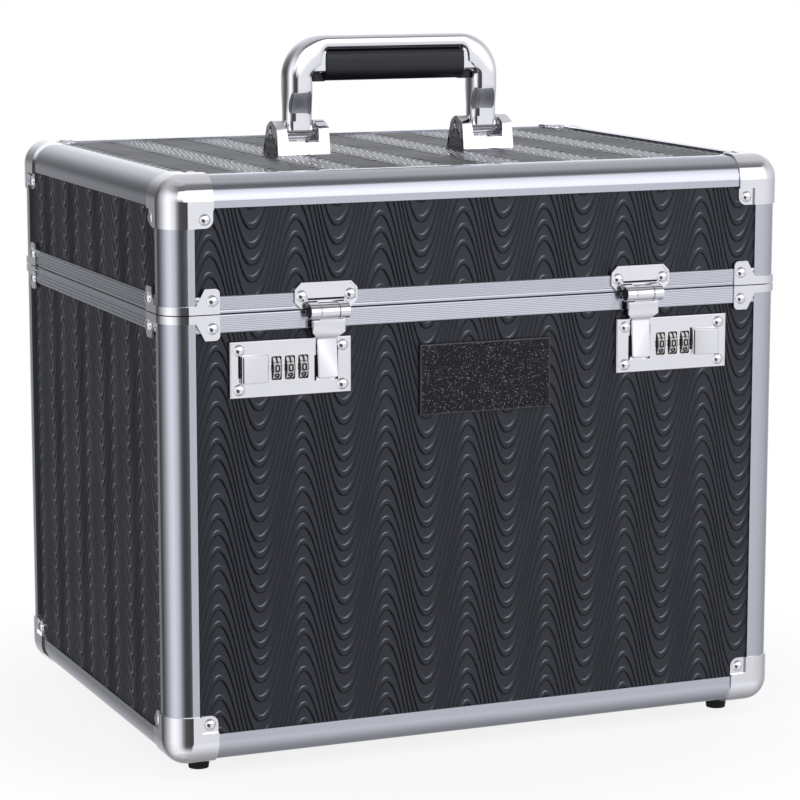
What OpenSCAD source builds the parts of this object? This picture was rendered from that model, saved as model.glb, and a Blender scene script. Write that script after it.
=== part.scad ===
// Horse grooming box: an aluminium framed case with a hinged lid, two combination
// locks with hasps, a folding carrying handle and a lift-out tray.
// Millimetres. Origin under the middle of the case on the floor, front towards -Y.

/* [Case] */
// Width across the outer faces
case_w = 400; // [370:5:460]
// Depth from the front face to the rear face
case_d = 295; // [270:5:340]
// Height of the lower case from its base to the parting line
case_h = 266; // [240:2:320]
// Height of the lid from the parting line to its top
lid_h = 79; // [74:1:110]
// Gap between the case rim and the lid rim
seam = 0.6; // [0.4:0.1:1]
// Thickness of the wall panels
panel_t = 5; // [4:0.5:6]
// Thickness of the lining sheets
lining_t = 1.2; // [0.8:0.1:2]

/* [Edge profiles] */
// Leg of an edge profile seen on each face
edge_leg = 18; // [16.5:0.5:20]
// Outer radius of an edge profile
edge_r = 13.8; // [12:0.2:15]
// Skin of a profile over the panel's face
skin = 1.5; // [1.2:0.1:1.8]
// Depth that a panel enters a profile
pocket = 6; // [4:0.5:6]
// Side of the hollow channel in a profile's core
channel = 5; // [4:0.2:5.2]
// Length of a joiner's plug in that channel
plug_l = 10; // [6:1:20]

/* [Rims] */
// Height of the ribbed rim on the case
case_rim_h = 10.6; // [9.5:0.1:14]
// Height of the ribbed rim on the lid
lid_rim_h = 10.2; // [9.5:0.1:14]
// Grooves along each rim
rim_grooves = 3; // [1:1:4]
// Width of a rim groove
groove_w = 0.9; // [0.5:0.1:1.2]
// Depth of a rim groove
groove_d = 0.4; // [0.2:0.1:0.8]
// Height of the tongue on the case rim
tongue_h = 2.4; // [1.5:0.1:3]
// Thickness of the tongue
tongue_t = 1.6; // [1:0.1:2.2]
// Clearance round the tongue
tongue_gap = 0.4; // [0.3:0.1:0.6]

/* [Corner caps and brackets] */
// Sheet thickness of the caps and brackets
cap_t = 1; // [0.8:0.1:1.2]
// Reach of a corner cap from the outer faces
cap_reach = 29.5; // [28:0.5:34]
// Radius of a cap's free corners
cap_corner_r = 5; // [2:0.5:6]
// Reach of a parting line bracket from the outer faces
bracket_reach = 32.5; // [30:0.5:38]
// Height of a bracket leg from the parting line
bracket_half = 15; // [13:0.5:18]
// Height of the narrow band round the corner post
bracket_band = 5; // [3:0.5:7]
// Radius of a bracket's free corners
bracket_corner_r = 3; // [1:0.5:4]
// Bracket rivet's distance from the outer faces
bracket_rivet = 28; // [26:0.5:29]
// Bracket rivet's distance from the parting line
bracket_rivet_y = 8; // [7:0.5:9]

/* [Rivets] */
// Radius of a domed head
rivet_head_r = 3.1; // [2.6:0.1:3.3]
// Height of a domed head
rivet_head_h = 1.7; // [1.2:0.1:2.2]
// Radius of a shank
rivet_r = 1.6; // [1.2:0.1:1.8]
// Radius of the button set on the inside
rivet_tail_r = 2.6; // [2.2:0.1:3]
// Height of that button
rivet_tail_h = 0.8; // [0.5:0.1:1.2]

/* [Feet] */
// Clear height of the case above the floor
foot_h = 8; // [6:0.5:12]
// Foot centre's distance from the outer faces
foot_inset = 25.6; // [25.5:0.1:35]
// Foot radius at the case
foot_top_r = 7.3; // [6:0.1:7.4]
// Foot radius at the floor
foot_floor_r = 6; // [4:0.1:6.5]

/* [Locks] */
// Lock centre's distance from the nearer side face
lock_inset = 75.7; // [72:0.1:85]
// Lock centre's distance below the parting line
lock_drop = 33; // [31:0.5:45]
// Length of a lock plate
lock_w = 74; // [73:0.5:80]
// Height of a lock plate
lock_h = 32; // [31:0.5:36]
// Height of a lock plate's face above the case face
lock_proud = 1.3; // [1.1:0.1:1.8]
// Sheet thickness of a lock plate
lock_sheet = 1; // [0.8:0.1:1.1]
// Lock rivet's distance from the lock centre along the plate
lock_rivet_x = 32; // [31.5:0.1:33]
// Lock rivet's distance above and below the lock centre
lock_rivet_y = 11.5; // [11:0.1:12]
// Distance between number wheels
dial_pitch = 8.3; // [8:0.1:8.6]
// Offset of the middle wheel from the lock centre
dial_x = 0.7; // [0:0.1:1.2]
// Radius of a number wheel
wheel_r = 8.5; // [8.2:0.1:8.8]
// Thickness of a number wheel
wheel_w = 5.8; // [5:0.1:6]
// Height of a number wheel above the plate
wheel_proud = 2; // [1.6:0.1:2.4]
// Height of a wheel slot in the plate
dial_slot_h = 14; // [13.8:0.1:15]
// Radius of the wheels' shaft
shaft_r = 1.5; // [1.2:0.1:1.8]
// Depth of the inner cover behind the lining
cover_depth = 9; // [8.5:0.5:10]

/* [Slide buttons] */
// Button centre's distance from the lock centre
slider_x = 22.6; // [22:0.1:23]
// Length of a button
slider_w = 17; // [14:0.5:18]
// Height of a button
slider_h = 16; // [12:0.5:18]
// Height of a button's outer end above the plate
slider_rise = 3.2; // [2:0.1:5]
// Travel of a button
slider_travel = 4; // [2:0.5:4]

/* [Hasps] */
// Hasp centre's distance inboard of the lock centre
hasp_in = 22; // [21.6:0.1:22.2]
// Length of a hasp plate
hasp_plate_w = 39; // [37:0.5:44]
// Height of a hasp plate
hasp_plate_h = 15.4; // [14:0.2:18]
// Thickness of a hasp plate
hasp_t = 1.6; // [1.2:0.1:2]
// Radius of the hasp barrel
hasp_barrel_r = 4.6; // [4:0.1:4.8]
// Distance of the barrel's axis from the case face
hasp_off = 5.2; // [5.1:0.1:6]
// Length of the barrel
hasp_barrel_l = 24.2; // [22:0.2:26]
// Distance of the barrel's axis below the parting line
hasp_axis_drop = 0.8; // [0.5:0.1:1.5]
// Width of the arm below the barrel
arm_wide = 20.4; // [18:0.2:22]
// Width of the arm in the lock plate
arm_narrow = 12.3; // [10:0.1:12.6]
// Reach of the arm below the barrel's axis
arm_reach = 40; // [38:0.2:41]
// Radius of a hasp pin
hasp_pin_r = 1.5; // [1.2:0.1:2]

/* [Rear hinges] */
// Hinge centre's distance from the nearer side face
hinge_inset = 90; // [70:1:110]
// Length of a hinge
hinge_w = 40; // [36:1:50]
// Height of a hinge leaf on the rim
leaf_h = 9.6; // [9:0.1:9.8]
// Thickness of a hinge leaf
leaf_t = 1.5; // [1.2:0.1:1.6]
// Radius of a hinge barrel
hinge_barrel_r = 4; // [3.4:0.1:4]
// Radius of a hinge pin
hinge_pin_r = 2; // [1.5:0.1:2.2]

/* [Handle] */
// Handle leg's distance from the middle of the case
handle_x = 63; // [58:0.5:70]
// Width of a handle leg
leg_w = 17.5; // [15:0.5:18]
// Thickness of the handle frame
handle_t = 13; // [11:0.5:14]
// Radius along the handle frame's edges
handle_edge_r = 4; // [2:0.5:4]
// Top of the handle above the lid
handle_top = 72; // [66:1:90]
// Outer radius of the handle's corners
handle_r = 26; // [24:0.5:32]
// Height of the spine over the grip
spine_h = 9; // [8.5:0.5:11]
// Length of the grip
grip_l = 94; // [84:1:96]
// Height of the grip
grip_h = 18.5; // [16:0.5:20]
// Depth of the grip, front to rear
grip_d = 20; // [16:0.5:20]
// Pivot's height above the lid
pivot_h = 13.5; // [13:0.5:15]
// Radius of a handle pin
handle_pin_r = 2; // [1.5:0.1:3]
// Thickness of a bracket's ear
ear_t = 7; // [5:0.5:8]
// Gap between a bracket's ears
ear_gap = 21; // [19:0.5:22]
// Depth of a bracket, front to rear
ear_d = 24; // [20:0.5:30]
// Radius of an ear's top round the pivot
ear_r = 6; // [5.5:0.5:7]
// Height of a bracket's base above the lid
base_h = 5.5; // [4.5:0.1:6]

/* [Badge] */
// Width of the badge plate
badge_w = 84; // [60:1:100]
// Height of the badge plate
badge_h = 41.5; // [30:0.5:50]
// Thickness of the badge plate
badge_t = 2.2; // [1.5:0.1:3]
// Badge centre's distance below the parting line
badge_drop = 46; // [40:1:80]

/* [Tray] */
// Depth of the tray, top to bottom
tray_h = 55; // [40:1:60]
// Wall of the tray
tray_wall = 2; // [1.5:0.1:3]
// Gap between the tray and the lock covers
tray_front_gap = 2.5; // [1:0.1:6]
// Gap between the tray and the side walls
tray_side_gap = 4.3; // [4:0.1:6]
// Tray's top below the parting line
tray_drop = 12; // [10:1:20]
// Cross dividers in the tray
divider_count = 2; // [1:1:4]
// Height of a divider
divider_h = 42; // [25:1:42]
// Thickness of a divider
divider_t = 3; // [2:0.5:5]
// Reach of a tray ledge from the wall
ledge_reach = 12; // [9:0.5:16]
// Thickness of a tray ledge
ledge_t = 1.5; // [1:0.1:2]

/* [Hidden] */
$fn = 48;

// Clearances: turning pins, fixed pins and rivets, thin sheet over a profile, free moving faces
run_gap = 0.05;
fix_gap = 0.03;
sheet_gap = 0.05;
free_gap = 0.3;
past = 1; // a cutter's overshoot

base_z = foot_h;
part_z = foot_h + case_h;
top_z = part_z + lid_h;
case_top = part_z - seam / 2;
lid_low = part_z + seam / 2;

core = edge_leg - pocket;
core_wall = 1.6;
channel_at = core - core_wall - channel;
wall_t = skin + panel_t + lining_t;
tongue_at = skin + (panel_t - tongue_t) / 2;
hole_r = rivet_r + fix_gap;

pad_at = edge_leg + cap_t + 0.2;
pad_seat = cap_t - skin;
cap_rivet = (pad_at + cap_reach) / 2;

front_reach = hasp_off + hasp_barrel_r;
hinge_off = front_reach - hinge_barrel_r;
hinge_x = case_w / 2 - hinge_inset;
hinge_rivet_x = hinge_w * 0.3;
hinge_rivet_y = 6.4;
hinge_web = 2.8;

lock_x = case_w / 2 - lock_inset;
lock_z = part_z - lock_drop;
hasp_x = lock_x - hasp_in;
hasp_axis_z = part_z - hasp_axis_drop;
hasp_rivet_x = hasp_plate_w / 2 - 4.4;
hasp_rivet_y = 8.2;
hasp_sink = 0.4;
hasp_web = 5;
knuckle_l = hasp_barrel_l / 4;

axle_depth = wheel_r - wheel_proud - lock_proud;
dial_slot_w = wheel_w + 0.5;
bearer_t = 1.5;
window_w = 2 * (dial_pitch + wheel_w / 2 + bearer_t + 2 * free_gap + 0.2);
window_h = 2 * wheel_r + 2;
cover_t = 1;
cover_seat = wall_t + cover_t;

arm_slot_w = arm_narrow + 1.2;
arm_slot_low = -hasp_axis_drop + lock_drop - arm_reach - 0.8;
arm_back = 0.1;
arm_floor = -0.5;
catch_y = 10.8;
catch_h = 2.6;
catch_t = 1.2;
stem_w = 5;
stem_h = 6;

pivot_z = top_z + pivot_h;
spine_low = top_z + handle_top - spine_h;
grip_low = spine_low - grip_h;
shoulder_low = grip_low + 4.5;
leg_inner = handle_x - leg_w / 2;
bracket_seat = top_z - skin;
bracket_screw_y = 8;
bracket_screw_depth = base_h;

inner_w = case_w - 2 * wall_t;
tray_w = inner_w - 2 * tray_side_gap;
tray_d = case_d - 2 * (wall_t + cover_depth + cover_t + tray_front_gap);
tray_low = part_z - tray_drop - tray_h;
tray_r = 10;

chrome = "gainsboro";
alloy = "silver";
board = "#2f3136";
felt = "#1c1c1e";
rubber = "#18181a";

// Wall frames: 0 front, 1 right, 2 back, 3 left. In a wall's frame x runs along it, y up, z outwards.
function half(k) = (k % 2 == 0 ? case_d : case_w) / 2;
function span(k) = k % 2 == 0 ? case_w : case_d;

module on_wall(k) {
    rotate([0, 0, 90 * k]) translate([0, -half(k), 0]) rotate([90, 0, 0]) children();
}

module flip(along, on) {
    mirror(on ? along : [0, 0, 0]) children();
}

// Corner frame: x and y run inwards from an upright corner
module at_corners() {
    for (sx = [-1, 1], sy = [-1, 1])
        translate([sx * case_w / 2, sy * case_d / 2, 0])
            flip([1, 0, 0], sx > 0) flip([0, 1, 0], sy > 0) children();
}

// The three faces that meet at a corner, each with its normal along z
module on_face(k) {
    turns = [[0, 0, 0], [90, 0, 90], [0, -90, -90]];
    rotate(turns[k]) children();
}

// Lock frame on the front wall: x runs outwards from the lock centre
module at_lock(side) {
    on_wall(0) translate([side * lock_x, lock_z, 0]) flip([1, 0, 0], side < 0) children();
}

// Flat outlines
module spandrel(r) {
    difference() {
        square(2 * r);
        circle(r);
    }
}

module rounded_plate(w, h, r) {
    difference() {
        square([w, h], center = true);
        for (sx = [-1, 1], sy = [-1, 1])
            flip([1, 0, 0], sx < 0) flip([0, 1, 0], sy < 0)
                translate([w / 2 - r, h / 2 - r]) spandrel(r);
    }
}

module rounded_corner(s, r) {
    difference() {
        square(s);
        translate([r, r]) rotate(180) spandrel(r);
    }
}

// Extrusion profiles: x runs inwards from one face and y from the other
module edge_profile() {
    difference() {
        rounded_corner(edge_leg, edge_r);
        for (swap = [false, true]) flip([1, -1, 0], swap) {
            translate([core, skin]) square([edge_leg, panel_t]);
            translate([core, wall_t]) square(edge_leg);
        }
        translate([channel_at, channel_at]) square(channel);
    }
}

module rim_profile(h, grooved) {
    rib = h / (rim_grooves + 1);
    difference() {
        square([wall_t, h]);
        translate([skin, h - pocket]) square([panel_t, pocket + past]);
        for (i = [1 : rim_grooves])
            translate([-past, i * rib - groove_w / 2]) square([past + groove_d, groove_w]);
        if (grooved)
            translate([tongue_at - tongue_gap, -past])
                square([tongue_t + 2 * tongue_gap, past + tongue_h - seam + tongue_gap]);
    }
}

module tongue_profile() {
    translate([tongue_at, -tongue_h]) square([tongue_t, tongue_h + past]);
}

// A profile laid along a wall between the corner posts
module bar(k, y, down, inset = 0) {
    length = span(k) - 2 * (edge_leg + inset);
    on_wall(k) translate([-length / 2, y, 0]) flip([0, 1, 0], down)
        rotate([0, 90, 0]) linear_extrude(length) children();
}

// Rivet places on a wall, each [x, y, seat height, depth of the inner button's seat]
function cap_places(k, y) = [for (s = [-1, 1]) [s * (span(k) / 2 - cap_rivet), y, pad_seat, wall_t]];
function bracket_places(k, y) =
    [for (s = [-1, 1]) [s * (span(k) / 2 - bracket_rivet), y, cap_t + sheet_gap, wall_t]];
function hinge_places(y) =
    [for (s = [-1, 1], t = [-1, 1]) [s * hinge_x + t * hinge_rivet_x, y, leaf_t, wall_t]];
lock_places = [for (s = [-1, 1], t = [-1, 1], u = [-1, 1])
    [s * lock_x + t * lock_rivet_x, lock_z + u * lock_rivet_y, lock_proud, cover_seat]];
hasp_places = [for (s = [-1, 1], t = [-1, 1])
    [s * hasp_x + t * hasp_rivet_x, part_z + hasp_rivet_y, hasp_t - hasp_sink, wall_t]];

function case_places(k) = concat(
    cap_places(k, base_z + cap_rivet),
    bracket_places(k, part_z - bracket_rivet_y),
    k == 0 ? lock_places : [],
    k == 2 ? hinge_places(part_z - hinge_rivet_y) : []);
function lid_places(k) = concat(
    cap_places(k, top_z - cap_rivet),
    bracket_places(k, part_z + bracket_rivet_y),
    k == 0 ? hasp_places : [],
    k == 2 ? hinge_places(part_z + hinge_rivet_y) : []);
top_places = [for (sx = [-1, 1], sy = [-1, 1])
    [sx * (case_w / 2 - cap_rivet), sy * (case_d / 2 - cap_rivet), pad_seat, wall_t]];
screw_places = [for (sx = [-1, 1], sy = [-1, 1]) [sx * handle_x, sy * bracket_screw_y]];
foot_places = [for (sx = [-1, 1], sy = [-1, 1])
    [sx * (case_w / 2 - foot_inset), sy * (case_d / 2 - foot_inset)]];

module drill(places) {
    for (p = places) translate([p.x, p.y, -cover_seat - past])
        cylinder(r = hole_r, h = cover_seat + lock_proud + 2 * past);
}

module holes(places) {
    for (p = places) translate([p.x, p.y]) circle(hole_r);
}

module rivet_dome(z) {
    dome_r = (pow(rivet_head_r, 2) + pow(rivet_head_h, 2)) / (2 * rivet_head_h);
    intersection() {
        translate([0, z + rivet_head_h - dome_r]) circle(dome_r);
        translate([0, z]) square([rivet_head_r, rivet_head_h]);
    }
}

module rivet(seat, depth) {
    rotate_extrude() {
        rivet_dome(seat);
        translate([0, -depth]) square([rivet_r, depth + seat + rivet_head_h / 2]);
        translate([0, -depth - rivet_tail_h]) square([rivet_tail_r, rivet_tail_h]);
    }
}

module rivets(places) {
    for (p = places) translate([p.x, p.y, 0]) rivet(p[2], p[3]);
}

// A screw with its domed head on the inside and its shank reaching outwards
module inside_screw(reach) {
    rotate_extrude() {
        mirror([0, 1]) rivet_dome(wall_t);
        translate([0, -wall_t - rivet_head_h / 2]) square([rivet_r, wall_t + rivet_head_h / 2 + reach]);
    }
}

// A flat sheet in a wall, z0 being the depth of its inner face
module wall_sheet(k, inset, y0, y1, z0, t, places) {
    w = span(k) - 2 * inset;
    on_wall(k) translate([0, 0, -z0]) linear_extrude(t) difference() {
        translate([-w / 2, y0]) square([w, y1 - y0]);
        holes(places);
        if (k == 0) lock_windows();
    }
}

module lock_windows() {
    for (s = [-1, 1]) translate([s * (lock_x + dial_x), lock_z])
        square([window_w, window_h], center = true);
}

module case_panel(k) {
    color(board) wall_sheet(k, core, base_z + core, case_top - case_rim_h + pocket,
        skin + panel_t, panel_t, case_places(k));
}

module lid_panel(k) {
    color(board) wall_sheet(k, core, lid_low + lid_rim_h - pocket, top_z - core,
        skin + panel_t, panel_t, lid_places(k));
}

module front_panel() { case_panel(0); }
module right_panel() { case_panel(1); }
module back_panel() { case_panel(2); }
module left_panel() { case_panel(3); }
module lid_front_panel() { lid_panel(0); }
module lid_right_panel() { lid_panel(1); }
module lid_back_panel() { lid_panel(2); }
module lid_left_panel() { lid_panel(3); }

module level_sheet(inset, z, t, places) {
    translate([0, 0, z]) linear_extrude(t) difference() {
        square([case_w - 2 * inset, case_d - 2 * inset], center = true);
        holes(places);
    }
}

module bottom_panel() {
    color(board) level_sheet(core, base_z + skin, panel_t, foot_places);
}

module lid_top_panel() {
    color(board) level_sheet(core, top_z - skin - panel_t, panel_t, concat(top_places, screw_places));
}

module case_lining() {
    color(felt) {
        for (k = [0 : 3])
            wall_sheet(k, edge_leg, base_z + edge_leg, case_top - case_rim_h, wall_t, lining_t, case_places(k));
        level_sheet(edge_leg, base_z + wall_t - lining_t, lining_t, foot_places);
    }
}

module lid_lining() {
    color(felt) {
        for (k = [0 : 3])
            wall_sheet(k, edge_leg, lid_low + lid_rim_h, top_z - edge_leg, wall_t, lining_t, lid_places(k));
        level_sheet(edge_leg, top_z - wall_t, lining_t, concat(top_places, screw_places));
    }
}

// Profiles
module corner_posts() {
    color(alloy) at_corners() translate([0, 0, base_z + edge_leg])
        linear_extrude(case_top - base_z - edge_leg) edge_profile();
}

module lid_posts() {
    color(alloy) at_corners() translate([0, 0, lid_low])
        linear_extrude(top_z - edge_leg - lid_low) edge_profile();
}

module bottom_edges(walls) {
    color(alloy) for (k = walls) bar(k, base_z, false) edge_profile();
}

module top_edges(walls) {
    color(alloy) for (k = walls) bar(k, top_z, true) edge_profile();
}

module bottom_edges_long() { bottom_edges([0, 2]); }
module bottom_edges_short() { bottom_edges([1, 3]); }
module top_edges_long() { top_edges([0, 2]); }
module top_edges_short() { top_edges([1, 3]); }

module case_rim(walls) {
    color(alloy) for (k = walls) difference() {
        union() {
            bar(k, case_top, true) rim_profile(case_rim_h, false);
            if (k != 2) bar(k, case_top, true, tongue_gap) tongue_profile();
        }
        on_wall(k) drill(concat(bracket_places(k, part_z - bracket_rivet_y),
            k == 2 ? hinge_places(part_z - hinge_rivet_y) : []));
    }
}

module lid_rim(walls) {
    color(alloy) for (k = walls) difference() {
        bar(k, lid_low, false) rim_profile(lid_rim_h, k != 2);
        on_wall(k) drill(concat(bracket_places(k, part_z + bracket_rivet_y),
            k == 0 ? hasp_places : [],
            k == 2 ? hinge_places(part_z + hinge_rivet_y) : []));
    }
}

module case_rim_long() { case_rim([0, 2]); }
module case_rim_short() { case_rim([1, 3]); }
module lid_rim_long() { lid_rim([0, 2]); }
module lid_rim_short() { lid_rim([1, 3]); }

// Corner block with round edges of radius r and a ball at its outer corner
module ball_block(r, s) {
    translate([r, r, r]) rotate([0, 0, 180]) rotate_extrude(angle = 90) intersection() {
        circle(r);
        rotate(-90) square(2 * r);
    }
    for (k = [0 : 2]) on_face(k) {
        translate([r, r, r]) rotate([0, 0, 180]) linear_extrude(s - r) intersection() {
            circle(r);
            square(2 * r);
        }
        translate([r, r, 0]) cube([s - r, s - r, r]);
    }
    translate([r, r, r]) cube(s - r);
}

module grow_block(by, r, s) {
    translate(-by * [1, 1, 1]) ball_block(r + by, s + by);
}

module joiner() {
    difference() {
        grow_block(-sheet_gap, edge_r, edge_leg);
        for (k = [0 : 2]) on_face(k) translate([core, core, skin]) cube(edge_leg);
    }
    for (k = [0 : 2]) on_face(k)
        translate([channel_at + sheet_gap, channel_at + sheet_gap, edge_leg - past])
            cube([channel - 2 * sheet_gap, channel - 2 * sheet_gap, plug_l + past]);
}

module bottom_joiners() {
    color("dimgray") at_corners() translate([0, 0, base_z]) joiner();
}

module top_joiners() {
    color("dimgray") at_corners() translate([0, 0, top_z]) mirror([0, 0, 1]) joiner();
}

// The part of a cap's face that steps down onto the panel round its rivet
module cap_pad() {
    side = cap_reach - pad_at;
    difference() {
        translate([pad_at - cap_t, pad_at - cap_t, -cap_t - sheet_gap])
            cube([side + cap_t, side + cap_t, cap_t + sheet_gap + skin]);
        translate([pad_at, pad_at, -cap_t - past]) cube([side + past, side + past, skin + past]);
        translate([cap_rivet, cap_rivet, 0]) cylinder(r = hole_r, h = skin + past);
    }
}

module corner_cap(padded) {
    deep = cap_t + sheet_gap + past;
    difference() {
        union() {
            difference() {
                grow_block(sheet_gap + cap_t, edge_r, cap_reach);
                grow_block(sheet_gap, edge_r, cap_reach + past);
                for (k = padded) on_face(k) translate([pad_at, pad_at, -deep])
                    cube([cap_reach, cap_reach, deep + past]);
            }
            for (k = padded) on_face(k) cap_pad();
        }
        for (k = [0 : 2]) on_face(k)
            translate([cap_reach - cap_corner_r, cap_reach - cap_corner_r, -deep])
                linear_extrude(deep + skin + past) spandrel(cap_corner_r);
        if (len(padded) < 3)
            translate([foot_inset, foot_inset, -deep]) cylinder(r = foot_top_r + free_gap, h = deep + past);
    }
}

module bottom_caps() {
    color(chrome) at_corners() translate([0, 0, base_z]) corner_cap([1, 2]);
}

module top_caps() {
    color(chrome) at_corners() translate([0, 0, top_z]) mirror([0, 0, 1]) corner_cap([0, 1, 2]);
}

// Half of a parting line bracket, with z running away from the line
module rim_bracket() {
    flat_at = edge_r + 1;
    flare_at = edge_leg + 6;
    low = seam / 2;
    translate([0, 0, low]) linear_extrude(bracket_band - low) difference() {
        translate(-(cap_t + sheet_gap) * [1, 1])
            rounded_corner(flat_at + cap_t + past, edge_r + cap_t + sheet_gap);
        translate(-sheet_gap * [1, 1]) rounded_corner(flat_at + 2 * past, edge_r + sheet_gap);
    }
    for (swap = [false, true]) flip([1, -1, 0], swap)
        translate([0, -sheet_gap, 0]) rotate([90, 0, 0]) linear_extrude(cap_t) difference() {
            translate([flat_at, low]) square([bracket_reach - flat_at, bracket_half - low]);
            polygon([[0, bracket_band], [edge_leg, bracket_band],
                [flare_at, bracket_half + past], [0, bracket_half + past]]);
            translate([bracket_reach - bracket_corner_r, bracket_half - bracket_corner_r])
                spandrel(bracket_corner_r);
            translate([bracket_rivet, bracket_rivet_y]) circle(hole_r);
        }
}

module case_rim_brackets() {
    color(chrome) at_corners() translate([0, 0, part_z]) mirror([0, 0, 1]) rim_bracket();
}

module lid_rim_brackets() {
    color(chrome) at_corners() translate([0, 0, part_z]) rim_bracket();
}

module case_rivets() {
    color(chrome) {
        for (k = [0 : 3]) on_wall(k) rivets(case_places(k));
        for (p = foot_places) translate([p.x, p.y, base_z]) rotate([180, 0, 0]) inside_screw(0);
    }
}

module lid_rivets() {
    color(chrome) {
        for (k = [0 : 3]) on_wall(k) rivets(lid_places(k));
        translate([0, 0, top_z]) rivets(top_places);
        for (p = screw_places) translate([p.x, p.y, top_z]) inside_screw(bracket_screw_depth - past);
    }
}

module feet() {
    top = base_z + skin;
    color(rubber) for (p = foot_places) translate([p.x, p.y, 0]) difference() {
        cylinder(r1 = foot_floor_r, r2 = foot_top_r, h = top);
        translate([0, 0, base_z]) cylinder(r = hole_r, h = skin + past);
    }
}

// Combination locks
module lock_plate(side) {
    depth = skin + lock_proud;
    hollow = depth - lock_sheet;
    slot_x = -hasp_in;
    color(chrome) at_lock(side) difference() {
        union() {
            difference() {
                translate([0, 0, -skin]) linear_extrude(depth) rounded_plate(lock_w, lock_h, lock_sheet);
                translate([0, 0, -skin - past]) linear_extrude(hollow + past)
                    square([lock_w - 2 * lock_sheet, lock_h - 2 * lock_sheet], center = true);
            }
            translate([slot_x - arm_slot_w / 2 - lock_sheet, arm_slot_low - lock_sheet, -skin])
                cube([arm_slot_w + 2 * lock_sheet, lock_h / 2 - arm_slot_low, depth]);
        }
        translate([slot_x - arm_slot_w / 2, arm_slot_low, arm_floor])
            cube([arm_slot_w, lock_h, depth + past]);
        translate([slot_x, catch_y - catch_h / 2 - free_gap, -skin - past])
            cube([arm_slot_w / 2 + lock_sheet + past, catch_h + 2 * free_gap, past + catch_t + 2 * free_gap]);
        for (i = [-1 : 1]) translate([dial_x + i * dial_pitch, 0, -past])
            linear_extrude(depth) rounded_plate(dial_slot_w, dial_slot_h, lock_sheet);
        translate([slider_x - stem_w / 2 - free_gap, -stem_h / 2 - free_gap, -past])
            cube([stem_w + slider_travel + 2 * free_gap, stem_h + 2 * free_gap, depth]);
        drill([for (t = [-1, 1], u = [-1, 1]) [t * lock_rivet_x, u * lock_rivet_y]]);
    }
}

module lock_plate_left() { lock_plate(-1); }
module lock_plate_right() { lock_plate(1); }

module lock_cover() {
    bearer_x = window_w / 2 - free_gap - bearer_t;
    bearer_top = axle_depth - shaft_r - cover_t;
    difference() {
        union() {
            translate([0, 0, -cover_seat]) linear_extrude(cover_t)
                rounded_plate(lock_w - 2, lock_h - 2, 2 * cover_t);
            translate([dial_x, 0, -wall_t - cover_depth]) linear_extrude(cover_depth)
                square([window_w + 2 * cover_t, window_h + 2 * cover_t], center = true);
        }
        translate([dial_x, 0, -wall_t - cover_depth + cover_t]) linear_extrude(cover_depth)
            square([window_w, window_h], center = true);
        drill([for (t = [-1, 1], u = [-1, 1]) [t * lock_rivet_x, u * lock_rivet_y]]);
    }
    difference() {
        for (s = [0, 1]) translate([dial_x, 0, 0]) flip([1, 0, 0], s == 1)
            translate([bearer_x, -2 * shaft_r, -wall_t - cover_depth])
                cube([bearer_t, 4 * shaft_r, wall_t + cover_depth - bearer_top]);
        translate([dial_x - window_w / 2, 0, -axle_depth]) rotate([0, 90, 0])
            cylinder(r = shaft_r + fix_gap, h = window_w);
    }
}

module lock_covers() {
    color("dimgray") for (side = [-1, 1]) at_lock(side) lock_cover();
}

module wheel_shafts() {
    length = window_w - 2 * free_gap;
    color("darkgray") for (side = [-1, 1]) at_lock(side)
        translate([dial_x - length / 2, 0, -axle_depth]) rotate([0, 90, 0])
            cylinder(r = shaft_r, h = length);
}

module wheel(side, i) {
    color("lightgray") at_lock(side)
        translate([dial_x + i * dial_pitch - wheel_w / 2, 0, -axle_depth])
            rotate([0, 90, 0]) linear_extrude(wheel_w) difference() {
                circle(wheel_r);
                circle(shaft_r + run_gap);
                for (n = [0 : 9]) rotate(36 * n + 18) translate([wheel_r + 0.3, 0]) circle(0.7, $fn = 24);
            }
}

module wheel_left_1() { wheel(-1, 1); }
module wheel_left_2() { wheel(-1, 0); }
module wheel_left_3() { wheel(-1, -1); }
module wheel_right_1() { wheel(1, -1); }
module wheel_right_2() { wheel(1, 0); }
module wheel_right_3() { wheel(1, 1); }

module slider(side) {
    face = lock_proud + free_gap / 2;
    under = -skin + free_gap;
    tip = -hasp_in + arm_slot_w / 2 + free_gap;
    color(chrome) at_lock(side) {
        translate([slider_x, slider_h / 2, face]) rotate([90, 0, 0]) linear_extrude(slider_h)
            polygon([[-slider_w / 2, 0], [slider_w / 2, 0], [slider_w / 2, slider_rise - 0.5],
                [slider_w / 2 - 1.5, slider_rise], [-slider_w / 2 + 1.5, slider_rise / 2],
                [-slider_w / 2, slider_rise / 2 - 0.5]]);
        translate([slider_x - stem_w / 2, -stem_h / 2, under]) cube([stem_w, stem_h, face - under + 0.5]);
        translate([slider_x - stem_w / 2, -stem_h / 2, under])
            cube([stem_w, stem_h / 2 + catch_y + catch_h / 2, catch_t]);
        translate([tip, catch_y - catch_h / 2, under]) cube([slider_x - tip, catch_h, catch_t]);
    }
}

module slider_left() { slider(-1); }
module slider_right() { slider(1); }

module badge_plate() {
    color(board) on_wall(0) translate([0, part_z - badge_drop, -skin])
        linear_extrude(badge_t) rounded_plate(badge_w, badge_h, 1.5);
}

// A barrel along x with a web back to its leaf; the leaf stands on z = 0
module knuckle(x0, x1, axis_y, off, r, leaf, low, web) {
    translate([x0, 0, 0]) {
        translate([0, axis_y, off]) rotate([0, 90, 0]) cylinder(r = r, h = x1 - x0);
        rotate([90, 0, 90]) linear_extrude(x1 - x0)
            polygon([[low, 0], [web, 0], [web, leaf], [axis_y + 0.85 * r, off + 0.5 * r], [axis_y, off]]);
    }
}

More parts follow.
